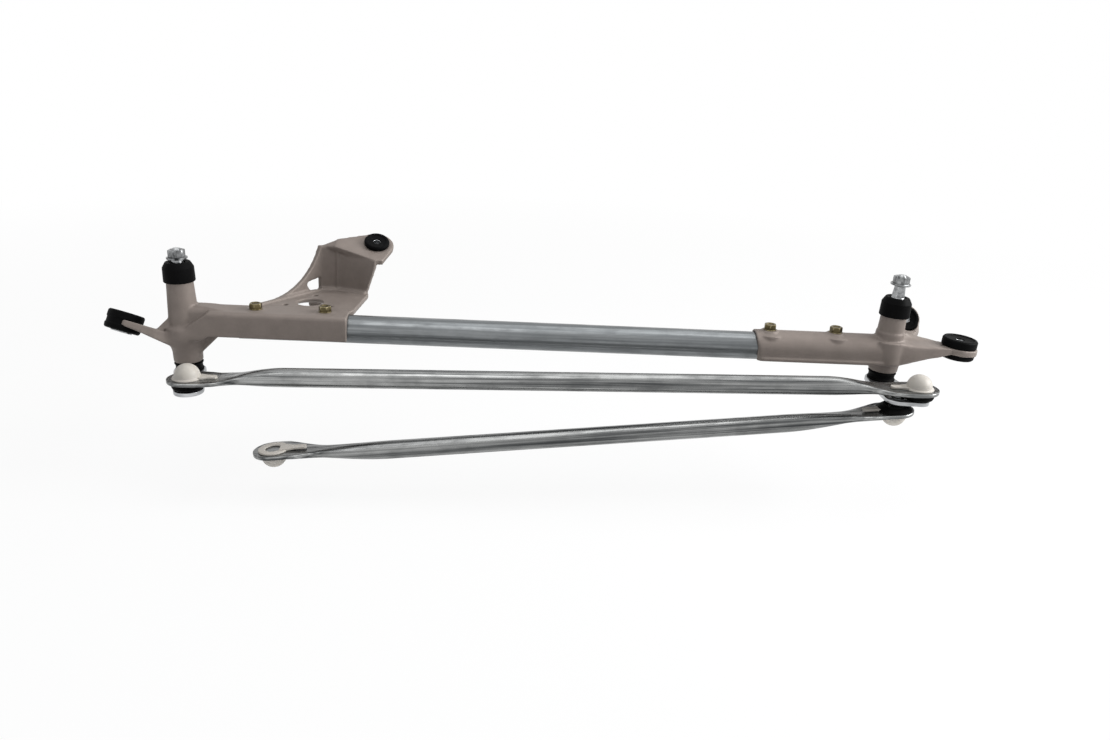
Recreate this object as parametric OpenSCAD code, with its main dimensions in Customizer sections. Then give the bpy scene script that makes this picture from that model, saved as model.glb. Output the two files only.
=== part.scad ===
// Wiper linkage: a tube frame with two cast pivot housings, two cranks,
// a long link between the cranks and a drive link for the motor.
// X runs along the frame tube, Z points up, and the origin is the left body mount.

/* [Layout] */
// Distance between the two wiper pivots
pivot_spacing = 632; // [580:1:700]
// Distance from the left body mount to the left pivot
left_mount_reach = 51.5; // [48:0.5:58]
// Outward lean of each pivot, in degrees
pivot_splay = 2.2; // [0:0.1:4]
// Angle of both cranks at rest, from square to the tube towards the right
crank_rest = 16.4; // [-10:0.2:30]

/* [Frame tube] */
// Outside diameter of the tube
tube_d = 25; // [23:0.5:25.5]
// Wall of the tube
tube_wall = 1.5; // [1:0.1:2]
// Tube length hidden in the left housing
tube_in_left = 96; // [90:1:100]
// Tube length hidden in the right housing
tube_in_right = 98; // [94:1:100]

/* [Pivots] */
// Diameter of the pivot shafts
shaft_d = 12; // [10:0.5:13]
// Wall of the bearing bushes
bush_wall = 2; // [1.5:0.25:2.5]
// Length of each bearing bush
bush_l = 16; // [10:1:18]
// Running clearance of a shaft in its bush, on the radius
run_gap = 0.05; // [0.02:0.01:0.09]
// Top of the left tower above the tube's axis
left_tower_top = 42; // [40:0.5:46]
// Bottom of the left boss below the tube's axis
left_boss_drop = 35.5; // [33:0.1:38]
// Top of the right tower above the tube's axis
right_tower_top = 38; // [36:0.5:42]
// Bottom of the right boss below the tube's axis
right_boss_drop = 18.5; // [17:0.1:21]
// Radius of the towers under their caps
tower_top_r = 11.4; // [11.2:0.1:12]
// Height of the rubber caps
cap_h = 17.4; // [16.4:0.2:19]
// Outside radius of the rubber caps
cap_r = 13.8; // [13.1:0.1:14.5]
// Length of tower inside the cap
cap_grip = 4.5; // [3:0.1:6]
// Height of the pivot seals under the bosses
pivot_seal_h = 8; // [5:0.5:9]

/* [Wiper arm seats] */
// Length of the knurled taper
taper_l = 11; // [8:0.5:13]
// Radius at the top of the taper
taper_top_r = 4.8; // [4.4:0.1:5]
// Thread radius above the taper
thread_r = 4; // [3:0.5:4]
// Bottom of the left nut above the cap
left_nut_gap = 2.6; // [1.2:0.1:3]
// Bottom of the right nut above the cap
right_nut_gap = 11.2; // [9:0.2:12.4]
// Width across the flats of the nuts
nut_af = 13; // [12:0.5:14]
// Height of the nuts
nut_h = 8; // [6:0.5:9]
// Radius of the nut flange
nut_flange_r = 8.9; // [8.2:0.1:9.5]

/* [Cranks and balls] */
// Distance from a pivot to the long link's ball
crank_r = 52; // [46:0.5:56]
// Thickness of the crank plates
crank_t = 3.5; // [2.5:0.25:4]
// Radius of the crank plate around the shaft
crank_hub_r = 14; // [12:0.5:15]
// Radius of the left crank plate around its ball
left_crank_end_r = 12.5; // [10:0.5:13.5]
// Radius of the right crank plate around its balls
right_crank_end_r = 11; // [9:0.5:12]
// Distance from the right pivot to the drive link's ball
drive_ball_r = 50.5; // [44:0.1:56]
// Angle of the drive link's ball from the long link's ball
drive_ball_lag = 20; // [17:0.2:30]
// Diameter of the balls
ball_d = 16; // [14:0.5:17]
// Height of a ball's centre from its crank face
ball_rise = 11.5; // [11:0.25:13]
// Radius of the neck under a ball
ball_neck_r = 4.2; // [3.5:0.1:4.4]

/* [Links and sockets] */
// Outside diameter of the pressed tube links
link_d = 16.6; // [16:0.2:18]
// Thickness of the links' flat ends
link_t = 2.6; // [2:0.1:3]
// Wall of the links' tubes
link_wall = 1.3; // [1:0.1:1.6]
// Radius of the flat link ends
link_end_r = 17; // [16:0.25:19]
// Distance from a ball to the full round section
link_roll_end = 60; // [54:1:80]
// Offset of the long link's tube axis from its flat ends
long_axis_rise = 2.3; // [0:0.1:3]
// Offset of the drive link's tube axis from its flat ends
drive_axis_rise = 5; // [3:0.1:6]
// Distance between the drive link's balls
drive_length = 539; // [500:1:560]
// Fall of the drive link from its ball to its free end, in degrees
drive_droop = 5.4; // [0:0.1:7]
// Turn of the drive link's free end towards the front, in degrees
drive_turn = 2.1; // [-5:0.1:10]
// Clearance of a ball in its socket
ball_gap = 0.15; // [0.1:0.05:0.3]
// Clearance of the ball at the loop's open end
loose_ball_gap = 0.35; // [0.3:0.05:0.5]
// Outside radius of the socket domes
dome_r = 12.3; // [11.5:0.1:13]
// Depth of a flat link end's middle below the ball
plate_drop = 3; // [2.8:0.1:3.4]
// Outside radius of the link seals
link_seal_r = 13.5; // [12.5:0.1:14]
// Room between a link seal and its crank
link_seal_gap = 1.2; // [1:0.1:2]

/* [Housings] */
// Half width of the left channel
left_half_w = 15.3; // [15:0.1:17]
// Top of the left channel above the tube's axis
left_top = 14.5; // [14:0.1:16]
// Bottom of the left channel below the tube's axis
left_skirt = 8; // [7:0.5:10]
// Right end of the left channel from the left pivot
left_channel_end = 144.5; // [142:0.5:147]
// Radius of the right channel's rounded top
right_barrel_r = 15; // [14.7:0.1:16]
// Bottom of the right channel below the tube's axis
right_skirt = 10; // [8:0.5:11]
// Left end of the right channel from the right pivot
right_channel_end = 123.5; // [118:0.5:130]
// Distance of the inner tube screws from the channel ends
screw_inset_left = 21; // [16:0.5:26]
// Distance of the outer tube screw of the right channel
screw_inset_right = 13.5; // [12:0.5:20]
// Distance between the two tube screws of a housing
screw_pitch = 60.5; // [50:0.5:64]
// Width across the flats of the tube screws
screw_af = 10; // [8:0.5:11]
// Height of the tube screw heads
screw_head_h = 5.5; // [4:0.5:7]
// Radius of the tube screw shanks
screw_r = 3; // [2.5:0.25:3.5]

/* [Motor bracket] */
// Motor shaft's distance along the tube from the left pivot
motor_x = 104; // [102:0.5:108]
// Motor shaft's distance behind the tube
motor_y = 31; // [30.5:0.5:32]
// Radius of the hole for the motor's nose
motor_hole_r = 12; // [10:0.5:13]
// Diameter of the motor screws' circle
motor_pcd = 46; // [45:0.5:48]
// Radius of the motor screw holes
motor_screw_r = 2.8; // [2.4:0.1:3.1]
// Thickness of the motor plate
motor_plate_t = 5; // [4:0.5:6]
// Depth of the screw bosses under the motor plate
motor_seat_t = 10; // [7:0.5:11]
// Thickness of the upright walls
wall_t = 4.5; // [3.5:0.25:5]
// Height of the upright wall above the tube's axis
wall_top = 57; // [56:0.2:58]
// Radius of the wall's curved edge
wall_sweep_r = 66; // [62:1:80]

/* [Body mounts] */
// Outside radius of the large grommets
grommet_r = 15.5; // [14.5:0.25:17]
// Outside radius of the small grommets
small_grommet_r = 11.8; // [11:0.2:13]
// Height of the left grommet
left_grommet_h = 15; // [14:0.5:18]
// Height of the right grommet
right_grommet_h = 18.4; // [16:0.2:20]
// How far the right grommet stands above the middle of its ear
right_grommet_lift = 1.3; // [0:0.1:2]
// Height of the small grommets
small_grommet_h = 14; // [13:0.5:16]
// Thickness of the ears in the grommets' grooves
ear_t = 5.6; // [4.5:0.2:6.5]
// Thickness of the left ear's tines
left_ear_t = 4.4; // [3.6:0.2:5.2]
// Groove radius of the large grommets
groove_r = 10; // [9:0.25:11]
// Groove radius of the small grommets
small_groove_r = 8; // [7.5:0.25:9]
// Bore radius of the mount sleeves
sleeve_bore_r = 3.3; // [2.7:0.1:3.8]
// Wall of the mount sleeves
sleeve_wall = 1.5; // [1:0.1:2]
// Radius of the sleeves' bottom flange
sleeve_flange_r = 9; // [7.5:0.25:10]
// Lean of the left mount, in degrees
left_mount_lean = 15; // [8:0.5:18]
// Tilt of the left mount towards the motor's side, degrees
left_mount_tilt = 24; // [18:1:28]
// How far the left grommet lies below the tube's axis, along the mount
left_mount_sink = 3; // [2:0.5:4]
// Distance from the right pivot to the right mount
right_mount_reach = 66; // [62:0.5:72]
// Height of the right mount above the tube's axis
right_mount_z = 4.3; // [2:0.1:6]
// Lean of the right mount, in degrees
right_mount_lean = 4; // [0:0.5:8]
// Place of the rear mount from the right pivot, along the tube
rear_mount_x = 28.5; // [26:0.5:34]
// Place of the rear mount behind the tube
rear_mount_y = 40; // [36:0.5:46]
// Height of the rear mount above the tube's axis
rear_mount_z = 19; // [16:0.5:24]
// Tilt of the rear mount from level, in degrees
rear_mount_tilt = 25; // [10:1:40]
// Place of the bracket mount from the left pivot, along the tube
bracket_mount_x = 157; // [155:0.5:158]
// Place of the bracket mount behind the tube
bracket_mount_y = 87; // [86:0.2:88]
// Height of the bracket mount above the tube's axis
bracket_mount_z = 56.6; // [56:0.1:57.2]

/* [Hidden] */
$fn = 64;
seat_gap = 0.03;
face_gap = 0.4;
overlap = 1;

left_x = left_mount_reach;
right_x = left_x + pivot_spacing;
left_channel_x = left_x + left_channel_end;
right_channel_x = right_x - right_channel_end;
screw_xs = [left_channel_x - screw_inset_left - screw_pitch, left_channel_x - screw_inset_left,
            right_channel_x + screw_inset_right, right_channel_x + screw_inset_right + screw_pitch];
screw_pad_h = 0.5;
screw_seats = [left_top + screw_pad_h, left_top + screw_pad_h,
               right_barrel_r + screw_pad_h, right_barrel_r + screw_pad_h];
screw_pad_r = 7.5;

shaft_r = shaft_d / 2;
bush_r = shaft_r + bush_wall;
ball_r = ball_d / 2;
tube_r = tube_d / 2;
tube_seat_r = tube_r + seat_gap;

// Heights along each pivot's own axis
left_crank_top = -left_boss_drop - face_gap - pivot_seal_h;
right_crank_top = -right_boss_drop - face_gap - pivot_seal_h;
left_cap_top = left_tower_top - cap_grip + cap_h;
right_cap_top = right_tower_top - cap_grip + cap_h;
left_nut_z = left_cap_top + left_nut_gap;
right_nut_z = right_cap_top + right_nut_gap;
shaft_past_nut = 1.2;

// Points on the cranks, turned by the lean of their pivot
function leaned(v, lean) = [v.x * cos(lean) + v.z * sin(lean), v.y, v.z * cos(lean) - v.x * sin(lean)];
function crank_point(x, lean, angle, radius, z) =
    [x, 0, 0] + leaned([radius * sin(angle), -radius * cos(angle), z], lean);
left_ball = crank_point(left_x, -pivot_splay, crank_rest, crank_r, left_crank_top + ball_rise);
right_ball = crank_point(right_x, pivot_splay, crank_rest, crank_r, right_crank_top + ball_rise);
drive_ball = crank_point(right_x, pivot_splay, crank_rest - drive_ball_lag, drive_ball_r,
                         right_crank_top - crank_t - ball_rise);
long_span = right_ball - left_ball;
long_length = norm(long_span);

cast_colour = [0.50, 0.47, 0.43];
zinc_colour = [0.62, 0.64, 0.68];
bright_colour = [0.80, 0.81, 0.83];
rubber_colour = [0.06, 0.06, 0.07];
nylon_colour = [0.80, 0.78, 0.73];
bronze_colour = [0.60, 0.45, 0.25];
screw_colour = [0.35, 0.29, 0.14];

// Frames of the moving and mounting points
module at_left_pivot() { translate([left_x, 0, 0]) rotate([0, -pivot_splay, 0]) children(); }
module at_right_pivot() { translate([right_x, 0, 0]) rotate([0, pivot_splay, 0]) children(); }
module at_left_crank() { at_left_pivot() rotate([0, 0, crank_rest]) children(); }
module at_right_crank() { at_right_pivot() rotate([0, 0, crank_rest]) children(); }
module at_drive_stud() {
    at_right_pivot() rotate([0, 0, crank_rest - drive_ball_lag]) translate([0, -drive_ball_r, 0]) children();
}
module at_long_link() {
    translate(left_ball)
        rotate([0, -asin(long_span.z / long_length), atan2(long_span.y, long_span.x)]) children();
}
// The drive link lies the other way up, so its flat ends face the crank
module at_drive_link() {
    translate(drive_ball) rotate([0, 0, 180 + drive_turn]) rotate([180, drive_droop, 0]) children();
}
module at_left_mount() {
    rotate([-left_mount_tilt, left_mount_lean, 0]) translate([0, 0, -left_mount_sink]) children();
}
module at_right_mount() {
    translate([right_x + right_mount_reach, 0, right_mount_z]) rotate([0, right_mount_lean, 0]) children();
}
module at_rear_mount() {
    translate([right_x + rear_mount_x, rear_mount_y, rear_mount_z])
        rotate([90 - rear_mount_tilt, 0, 0]) children();
}
bracket_lean = [24.8, 8, 0];
module at_bracket_mount() {
    translate([left_x + bracket_mount_x, bracket_mount_y, bracket_mount_z]) rotate(bracket_lean) children();
}

// Small shapes used by several pieces
module ring(outer, inner, h) {
    difference() {
        cylinder(r = outer, h = h);
        translate([0, 0, -overlap]) cylinder(r = inner, h = h + 2 * overlap);
    }
}
// Outline round circles listed anticlockwise, joined by their outer tangents
function tangent_angle(p, rp, q, rq) = atan2(q.y - p.y, q.x - p.x) - acos((rp - rq) / norm(q - p));
function belt(places, radii) = let (n = len(places)) [for (i = [0 : n - 1])
    let (before = (i + n - 1) % n, after = (i + 1) % n,
         from = tangent_angle(places[before], radii[before], places[i], radii[i]),
         to = tangent_angle(places[i], radii[i], places[after], radii[after]),
         sweep = ((to - from) % 360 + 360) % 360)
    each arc(places[i], radii[i], from, from + sweep, 14)];
function arc(centre, r, from, to, steps = 10) =
    [for (i = [0 : steps]) centre + r * [cos(from + (to - from) * i / steps),
    sin(from + (to - from) * i / steps)]];
// A profile drawn in Y and Z, run along X
module along_x(length) { rotate([90, 0, 90]) linear_extrude(length) children(); }
// A profile drawn in X and Z, centred on Y
module across_y(width) { translate([0, width / 2, 0]) rotate([90, 0, 0]) linear_extrude(width) children(); }

// Cast channel: rounded above, straight sided and open below
module trough_outline(half_w, top, skirt, corner) {
    polygon(concat([[-half_w, -skirt]], arc([-half_w + corner, top - corner], corner, 180, 90),
                   arc([half_w - corner, top - corner], corner, 90, 0), [[half_w, -skirt]]));
}
module tube_seat(from, to, depth) {
    translate([from, 0, 0]) rotate([0, 90, 0]) cylinder(r = tube_seat_r, h = to - from);
    translate([from, -tube_seat_r, -depth - overlap]) cube([to - from, 2 * tube_seat_r, depth + overlap]);
}

// Pivot tower with its boss, and the bores for shaft and bushes
module tower(top, drop, waist_r, boss_r) {
    rotate_extrude() polygon([[0, -drop], [boss_r - 1, -drop], [boss_r, -drop + 1], [boss_r + 0.6, -8],
                              [waist_r, 6], [tower_top_r, top - cap_grip - 0.5], [tower_top_r, top - 1],
                              [tower_top_r - 1, top], [0, top]]);
}
shaft_room = 1;
module tower_bore(top, drop) {
    translate([0, 0, -drop - overlap]) cylinder(r = shaft_r + shaft_room, h = top + drop + 2 * overlap);
    translate([0, 0, top - bush_l]) cylinder(r = bush_r + seat_gap, h = bush_l + overlap);
    translate([0, 0, -drop - overlap]) cylinder(r = bush_r + seat_gap, h = bush_l + overlap);
}
module bush(bottom) {
    color(bronze_colour) translate([0, 0, bottom]) ring(bush_r, shaft_r + run_gap, bush_l);
}

// Frame tube, held by both housings and pierced for their screws
module frame_tube() {
    from = left_channel_x - tube_in_left;
    to = right_channel_x + tube_in_right;
    color(zinc_colour) difference() {
        translate([from, 0, 0]) rotate([0, 90, 0]) ring(tube_r, tube_r - tube_wall, to - from);
        for (x = screw_xs) translate([x, 0, 0]) cylinder(r = screw_r + seat_gap, h = tube_d);
    }
}

// Tube screws: hex heads with a washer face, threaded into the tube's upper wall
screw_grip = 4;
washer_face_h = 0.8;
module tube_screw(seat) {
    translate([0, 0, tube_r - screw_grip]) cylinder(r = screw_r, h = seat - tube_r + screw_grip);
    translate([0, 0, seat]) cylinder(r = screw_af / 2 + 0.9, h = washer_face_h);
    translate([0, 0, seat]) intersection() {
        cylinder(d = screw_af / cos(30), h = screw_head_h, $fn = 6);
        cylinder(r1 = screw_af, r2 = screw_af / 2 - 0.2, h = screw_head_h + 4.6);
    }
}
module left_tube_screws() {
    color(screw_colour) for (i = [0, 1]) translate([screw_xs[i], 0, 0]) tube_screw(screw_seats[i]);
}
module right_tube_screws() {
    color(screw_colour) for (i = [2, 3]) translate([screw_xs[i], 0, 0]) tube_screw(screw_seats[i]);
}

// Left housing
ledge_z = -2;
ledge_r = 16.5;
shoulder = 4;
module left_channel() {
    length = left_channel_end;
    translate([left_x, 0, 0]) intersection() {
        across_y(2 * left_half_w)
            polygon([[-6, -left_skirt - 5], [-6, ledge_z - 4], [-2.7, ledge_z - 4], [20, 10],
                     [25, left_top],
                     [length, left_top], [length, -left_skirt], [24, -left_skirt], [16, -left_skirt - 5]]);
        translate([-10, 0, 0]) along_x(length + 20)
            trough_outline(left_half_w, left_top, left_skirt + 6, shoulder);
    }
    for (i = [0, 1]) translate([screw_xs[i], 0, 0]) cylinder(r = screw_pad_r, h = screw_seats[i]);
}
// Neck between the tower and the channel: a crown over a round ledge
crown_half_w = 10.5;
crown_z = 17.2;
module left_neck() {
    translate([left_x, 0, 0]) intersection() {
        across_y(2 * left_half_w)
            polygon([[-8.5, -8], [10, crown_z - 0.4], [16, crown_z], [24, crown_z - 0.6],
                     [36, left_top + 0.4],
                     [44, left_top - 0.4], [44, -8]]);
        translate([-10, 0, 0]) along_x(70) trough_outline(crown_half_w, crown_z, left_skirt, 6);
    }
    at_left_pivot() translate([0, 0, ledge_z - 12]) cylinder(r = ledge_r, h = 12);
}
gusset_t = 9;
module left_gusset() {
    translate([left_x, 0, 0]) across_y(gusset_t)
        polygon([[4, -left_skirt + overlap], [30, -left_skirt + overlap], [30, -left_skirt - 3],
                 [14, -27], [4, -27]]);
}
// Slotted ear in the mount's own plane: two tines hold the left grommet and deepen towards the tower
tine_half_w = 16.5;
tine_tip_r = 3;
ear_root_half_w = 9;
ear_run = left_x;
ear_depth = 9.5;
module left_ear() {
    skin = left_ear_t / 2 + spot_depth;
    at_left_mount() difference() {
        intersection() {
            across_y(2 * tine_half_w + 2)
                polygon([[0, skin], [ear_run, skin], [ear_run, -ear_depth], [16, -skin - 1.5], [0, -skin]]);
            translate([0, 0, -40]) linear_extrude(80)
                polygon(concat([[ear_run, ear_root_half_w], [38, 14], [30, tine_half_w]],
                               arc([5, tine_half_w - tine_tip_r], tine_tip_r, 90, 180, 4),
                               arc([5, -tine_half_w + tine_tip_r], tine_tip_r, 180, 270, 4),
                               [[30, -tine_half_w], [38, -14], [ear_run, -ear_root_half_w]]));
        }
        translate([0, 0, -30]) linear_extrude(60) {
            circle(r = groove_r + seat_gap);
            translate([-40, -groove_r - seat_gap]) square([40, 2 * groove_r + 2 * seat_gap]);
        }
        for (side = [0, 1]) mirror([0, 0, side])
            translate([0, 0, left_ear_t / 2]) cylinder(r = grommet_r + 0.5, h = 20);
    }
}
// Motor plate behind the channel, with the motor's hole and screw bosses
wall_foot = [62.5, 13];
wall_corner = [106.5, 75];
wall_bend = [121.5, 76];
wall_end = [149.5, 66];
wall_tip = wall_end + 10 * (wall_end - wall_bend) / norm(wall_end - wall_bend);
plate_right = 147;
// Outer side of the wall: the inner path moved sideways, with mitred corners
function left_of(a, b) = [a.y - b.y, b.x - a.x] / norm(b - a);
function mitred(a, b, c) = (left_of(a, b) + left_of(b, c)) / (1 + left_of(a, b) * left_of(b, c));
function wall_outer(t) = [wall_foot + t * left_of(wall_foot, wall_corner),
    wall_corner + t * mitred(wall_foot, wall_corner, wall_bend),
    wall_bend + t * mitred(wall_corner, wall_bend, wall_tip), wall_tip + t * left_of(wall_bend, wall_tip)];
wall_plan = concat([wall_tip, wall_bend, wall_corner, wall_foot], wall_outer(wall_t));
plate_reach = 3;
motor_boss_r = 6;
// Register for the motor's nose, sunk from below up to a thin web
motor_nose_r = 14.5;
motor_web_t = 3;
module motor_screw_places() {
    for (a = [90, 210, 330]) rotate([0, 0, a]) translate([motor_pcd / 2, 0, 0]) children();
}
module motor_plate() {
    translate([left_x, 0, left_top - motor_plate_t]) linear_extrude(motor_plate_t)
        polygon(concat([wall_outer(plate_reach)[0] - 0.02 * (wall_corner - wall_foot)],
                       [for (i = [1, 2]) wall_outer(plate_reach)[i]],
                       [wall_end + plate_reach * left_of(wall_bend, wall_end) + 0.04 * (wall_end - wall_bend),
                        [plate_right + 4, 60], [plate_right, 9],
                        [plate_right - 2.5, 6], [plate_right - 2.5, tube_r + 1.5], [65, tube_r + 1.5]]));
    translate([left_x + motor_x, motor_y, left_top - motor_seat_t]) {
        motor_screw_places() cylinder(r = motor_boss_r, h = motor_seat_t - overlap);
    }
}
module motor_cuts() {
    translate([left_x + motor_x, motor_y, -tube_d]) {
        cylinder(r = motor_hole_r, h = 2 * tube_d);
        cylinder(r = motor_nose_r, h = tube_d + left_top - motor_web_t);
        motor_screw_places() cylinder(r = motor_screw_r, h = 2 * tube_d);
    }
}
// Upright wall of three panels: swept down on its left, sloped and undercut on its right
wall_foot_z = left_top - motor_plate_t + 1;
panel_cut = 20;
module across_panel(from, to) {
    span = to - from;
    translate([left_x + from.x, from.y, 0]) rotate([90, 0, atan2(span.y, span.x)])
        translate([0, 0, -panel_cut]) linear_extrude(2 * panel_cut) children();
}
module motor_wall() {
    web_l = norm(wall_corner - wall_foot);
    sweep_z = left_top + 1.2;
    sweep_from = web_l - sqrt(pow(wall_sweep_r, 2) - pow(wall_sweep_r - (wall_top - sweep_z), 2));
    sweep_angle = acos(1 - (wall_top + overlap - sweep_z) / wall_sweep_r);
    end_l = norm(wall_end - wall_bend);
    difference() {
        translate([left_x, 0, wall_foot_z]) linear_extrude(wall_top - wall_foot_z) polygon(wall_plan);
        across_panel(wall_foot, wall_corner)
            polygon(concat([[-panel_cut, wall_top + overlap], [-panel_cut, left_top + 0.6]],
                   arc([sweep_from, sweep_z + wall_sweep_r], wall_sweep_r, 270, 270 + sweep_angle, 14)));
        across_panel(wall_bend, wall_end)
            polygon([[0, wall_top], [end_l + 10, wall_top - 10], [end_l + 9, wall_top - 17],
                     [end_l, left_top + 0.6],
                     [end_l, 0], [end_l + panel_cut, 0], [end_l + panel_cut, wall_top + overlap],
                     [0, wall_top + overlap]]);
    }
}
window_w = 17;
window_h = 12.5;
module wall_window() {
    web_l = norm(wall_corner - wall_foot);
    across_panel(wall_foot, wall_corner)
        polygon([[web_l - 1, left_top + 0.5], [web_l - 1, left_top + window_h],
                 [web_l - window_w, left_top + window_h - 2],
                 [web_l - window_w - 1, left_top + window_h - 5],
                 [web_l - window_w + 3, left_top + 1.5]]);
}
// Top ear of the wall, tilted to the front and to the right
bracket_ear_r = 16;
bracket_ear_t = 5;
// Depth of the spot faces round the grommets
spot_depth = 0.2;
module bracket_ear() {
    at_bracket_mount() translate([0, 0, -bracket_ear_t / 2 - spot_depth])
        linear_extrude(bracket_ear_t + 2 * spot_depth) {
        circle(r = bracket_ear_r);
        polygon([[-37, -14.9], [3.5, -25], [10, -23.5], [15.5, -4], [0, 15.9], [-7, 14.3], [-37, -2.8]]);
    }
}
module left_housing() {
    color(cast_colour) difference() {
        union() {
            at_left_pivot() tower(left_tower_top, left_boss_drop, 12.9, 12.6);
            left_channel();
            left_neck();
            left_gusset();
            left_ear();
            motor_plate();
            motor_wall();
            bracket_ear();
        }
        at_left_pivot() tower_bore(left_tower_top, left_boss_drop);
        tube_seat(left_channel_x - tube_in_left - overlap, left_channel_x + overlap, left_skirt);
        for (i = [0, 1]) translate([screw_xs[i], 0, 0]) cylinder(r = screw_r + seat_gap, h = tube_d);
        motor_cuts();
        wall_window();
        at_bracket_mount() translate([0, 0, -10]) cylinder(r = small_groove_r + seat_gap, h = 20);
        at_bracket_mount() for (side = [0, 1]) mirror([0, 0, side])
            translate([0, 0, bracket_ear_t / 2]) cylinder(r = small_grommet_r + 0.6, h = 12);
    }
}

// Right housing
collar_z = 18.5;
lip_h = 3;
module right_channel() {
    translate([right_channel_x, 0, 0]) intersection() {
        union() {
            along_x(right_channel_end)
                trough_outline(right_barrel_r, right_barrel_r, right_skirt, right_barrel_r);
            for (side = [0, 1]) mirror([0, side, 0])
                translate([4, tube_r, -right_skirt])
                    cube([right_channel_end, right_barrel_r - tube_r + 1, lip_h]);
        }
        translate([0, 0, -30]) linear_extrude(60)
            polygon(concat(arc([7, right_barrel_r - 6], 7, 180, 90, 6),
                [[right_channel_end, right_barrel_r + 1],
                           [right_channel_end, -right_barrel_r - 1]],
                           arc([7, -right_barrel_r + 6], 7, 270, 180, 6)));
    }
    for (i = [2, 3]) translate([screw_xs[i], 0, 0]) screw_mound(screw_seats[i], tube_r);
}
// Screw boss that flares smoothly into the channel's top
mound_sweep = 5;
module screw_mound(seat, foot) {
    rotate_extrude() polygon(concat([[0, 0], [0, seat], [screw_pad_r - 1, seat]],
        [for (i = [0 : 6]) let (a = i * 15)
        [screw_pad_r + mound_sweep * (1 - cos(a)), seat - (seat - foot) * sin(a)]],
        [[screw_pad_r + mound_sweep, 0]]));
}
// Arm to the right mount: a web that thins towards its ring, with a crest along the back
arm_ring_r = grommet_r + 1.2;
module right_arm() {
    at_right_mount() translate([0, 0, -ear_t / 2 - spot_depth])
        cylinder(r = arm_ring_r, h = ear_t + 2 * spot_depth);
    hull() {
        translate([right_x - 2, -right_barrel_r, -right_skirt + 0.5]) cube([1, 2 * right_barrel_r, 21]);
        translate([right_x + 14, -right_barrel_r, -right_skirt + 1.5]) cube([1, 2 * right_barrel_r, 17]);
        at_right_mount() translate([-13, -arm_ring_r + 3, -ear_t / 2]) cube([1, 2 * arm_ring_r - 6, ear_t]);
    }
    hull() {
        translate([right_x + 6, 5, 0]) cube([1, 9, 17]);
        translate([right_x + 24, 6, 0]) cube([1, 8, 15.6]);
        at_right_mount() translate([-18, 6, -ear_t / 2]) cube([1, 8, ear_t + 3.5]);
    }
}
rear_ring_r = small_grommet_r + 2.2;
module rear_ear() {
    at_rear_mount() translate([0, 0, -ear_t / 2 - spot_depth])
        cylinder(r = rear_ring_r, h = ear_t + 2 * spot_depth);
    hull() {
        at_rear_mount() translate([-rear_ring_r + 1, -rear_ring_r + 2, -ear_t / 2])
            cube([2 * rear_ring_r - 2, rear_ring_r - 4, ear_t]);
        translate([right_x - 4, 9, -right_skirt + 2]) cube([30, 3, 18]);
    }
}
module right_housing() {
    color(cast_colour) difference() {
        union() {
            at_right_pivot() tower(right_tower_top, right_boss_drop, 12.4, 13);
            at_right_pivot() cylinder(r = tower_top_r + 1.4, h = collar_z);
            at_right_pivot() translate([0, 0, -right_skirt + 0.6]) cylinder(r = 17, h = 21);
            right_channel();
            right_arm();
            rear_ear();
        }
        at_right_pivot() tower_bore(right_tower_top, right_boss_drop);
        tube_seat(right_channel_x - overlap, right_channel_x + tube_in_right + overlap, right_skirt);
        for (i = [2, 3]) translate([screw_xs[i], 0, 0]) cylinder(r = screw_r + seat_gap, h = tube_d);
        at_right_mount() translate([0, 0, -20]) cylinder(r = groove_r + seat_gap, h = 40);
        at_right_mount() for (side = [0, 1]) mirror([0, 0, side])
            translate([0, 0, ear_t / 2]) cylinder(r = grommet_r + 0.5, h = 14);
        at_rear_mount() translate([0, 0, -20]) cylinder(r = small_groove_r + seat_gap, h = 40);
        at_rear_mount() for (side = [0, 1]) mirror([0, 0, side])
            translate([0, 0, ear_t / 2]) cylinder(r = small_grommet_r + 0.5, h = 14);
    }
}

// Rubber caps on the towers, open round the shafts
cap_wall = 1.6;
cap_bevel = 3;
cap_hole_r = shaft_r + 0.6;
module cap(top) {
    bottom = top - cap_grip;
    color(rubber_colour) translate([0, 0, bottom]) rotate_extrude()
        polygon([[tower_top_r + seat_gap, 0], [cap_r - 0.6, 0], [cap_r, 0.6], [cap_r - 0.2, cap_h - 4.8],
                 [cap_r - cap_bevel, cap_h - 0.6], [cap_r - cap_bevel - 0.6, cap_h], [cap_hole_r, cap_h],
                 [cap_hole_r, cap_h - cap_wall], [tower_top_r - 2.5, cap_h - cap_wall - 3],
                 [tower_top_r - 2.5, cap_grip + seat_gap],
                 [tower_top_r + seat_gap, cap_grip + seat_gap]]);
}

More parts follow.
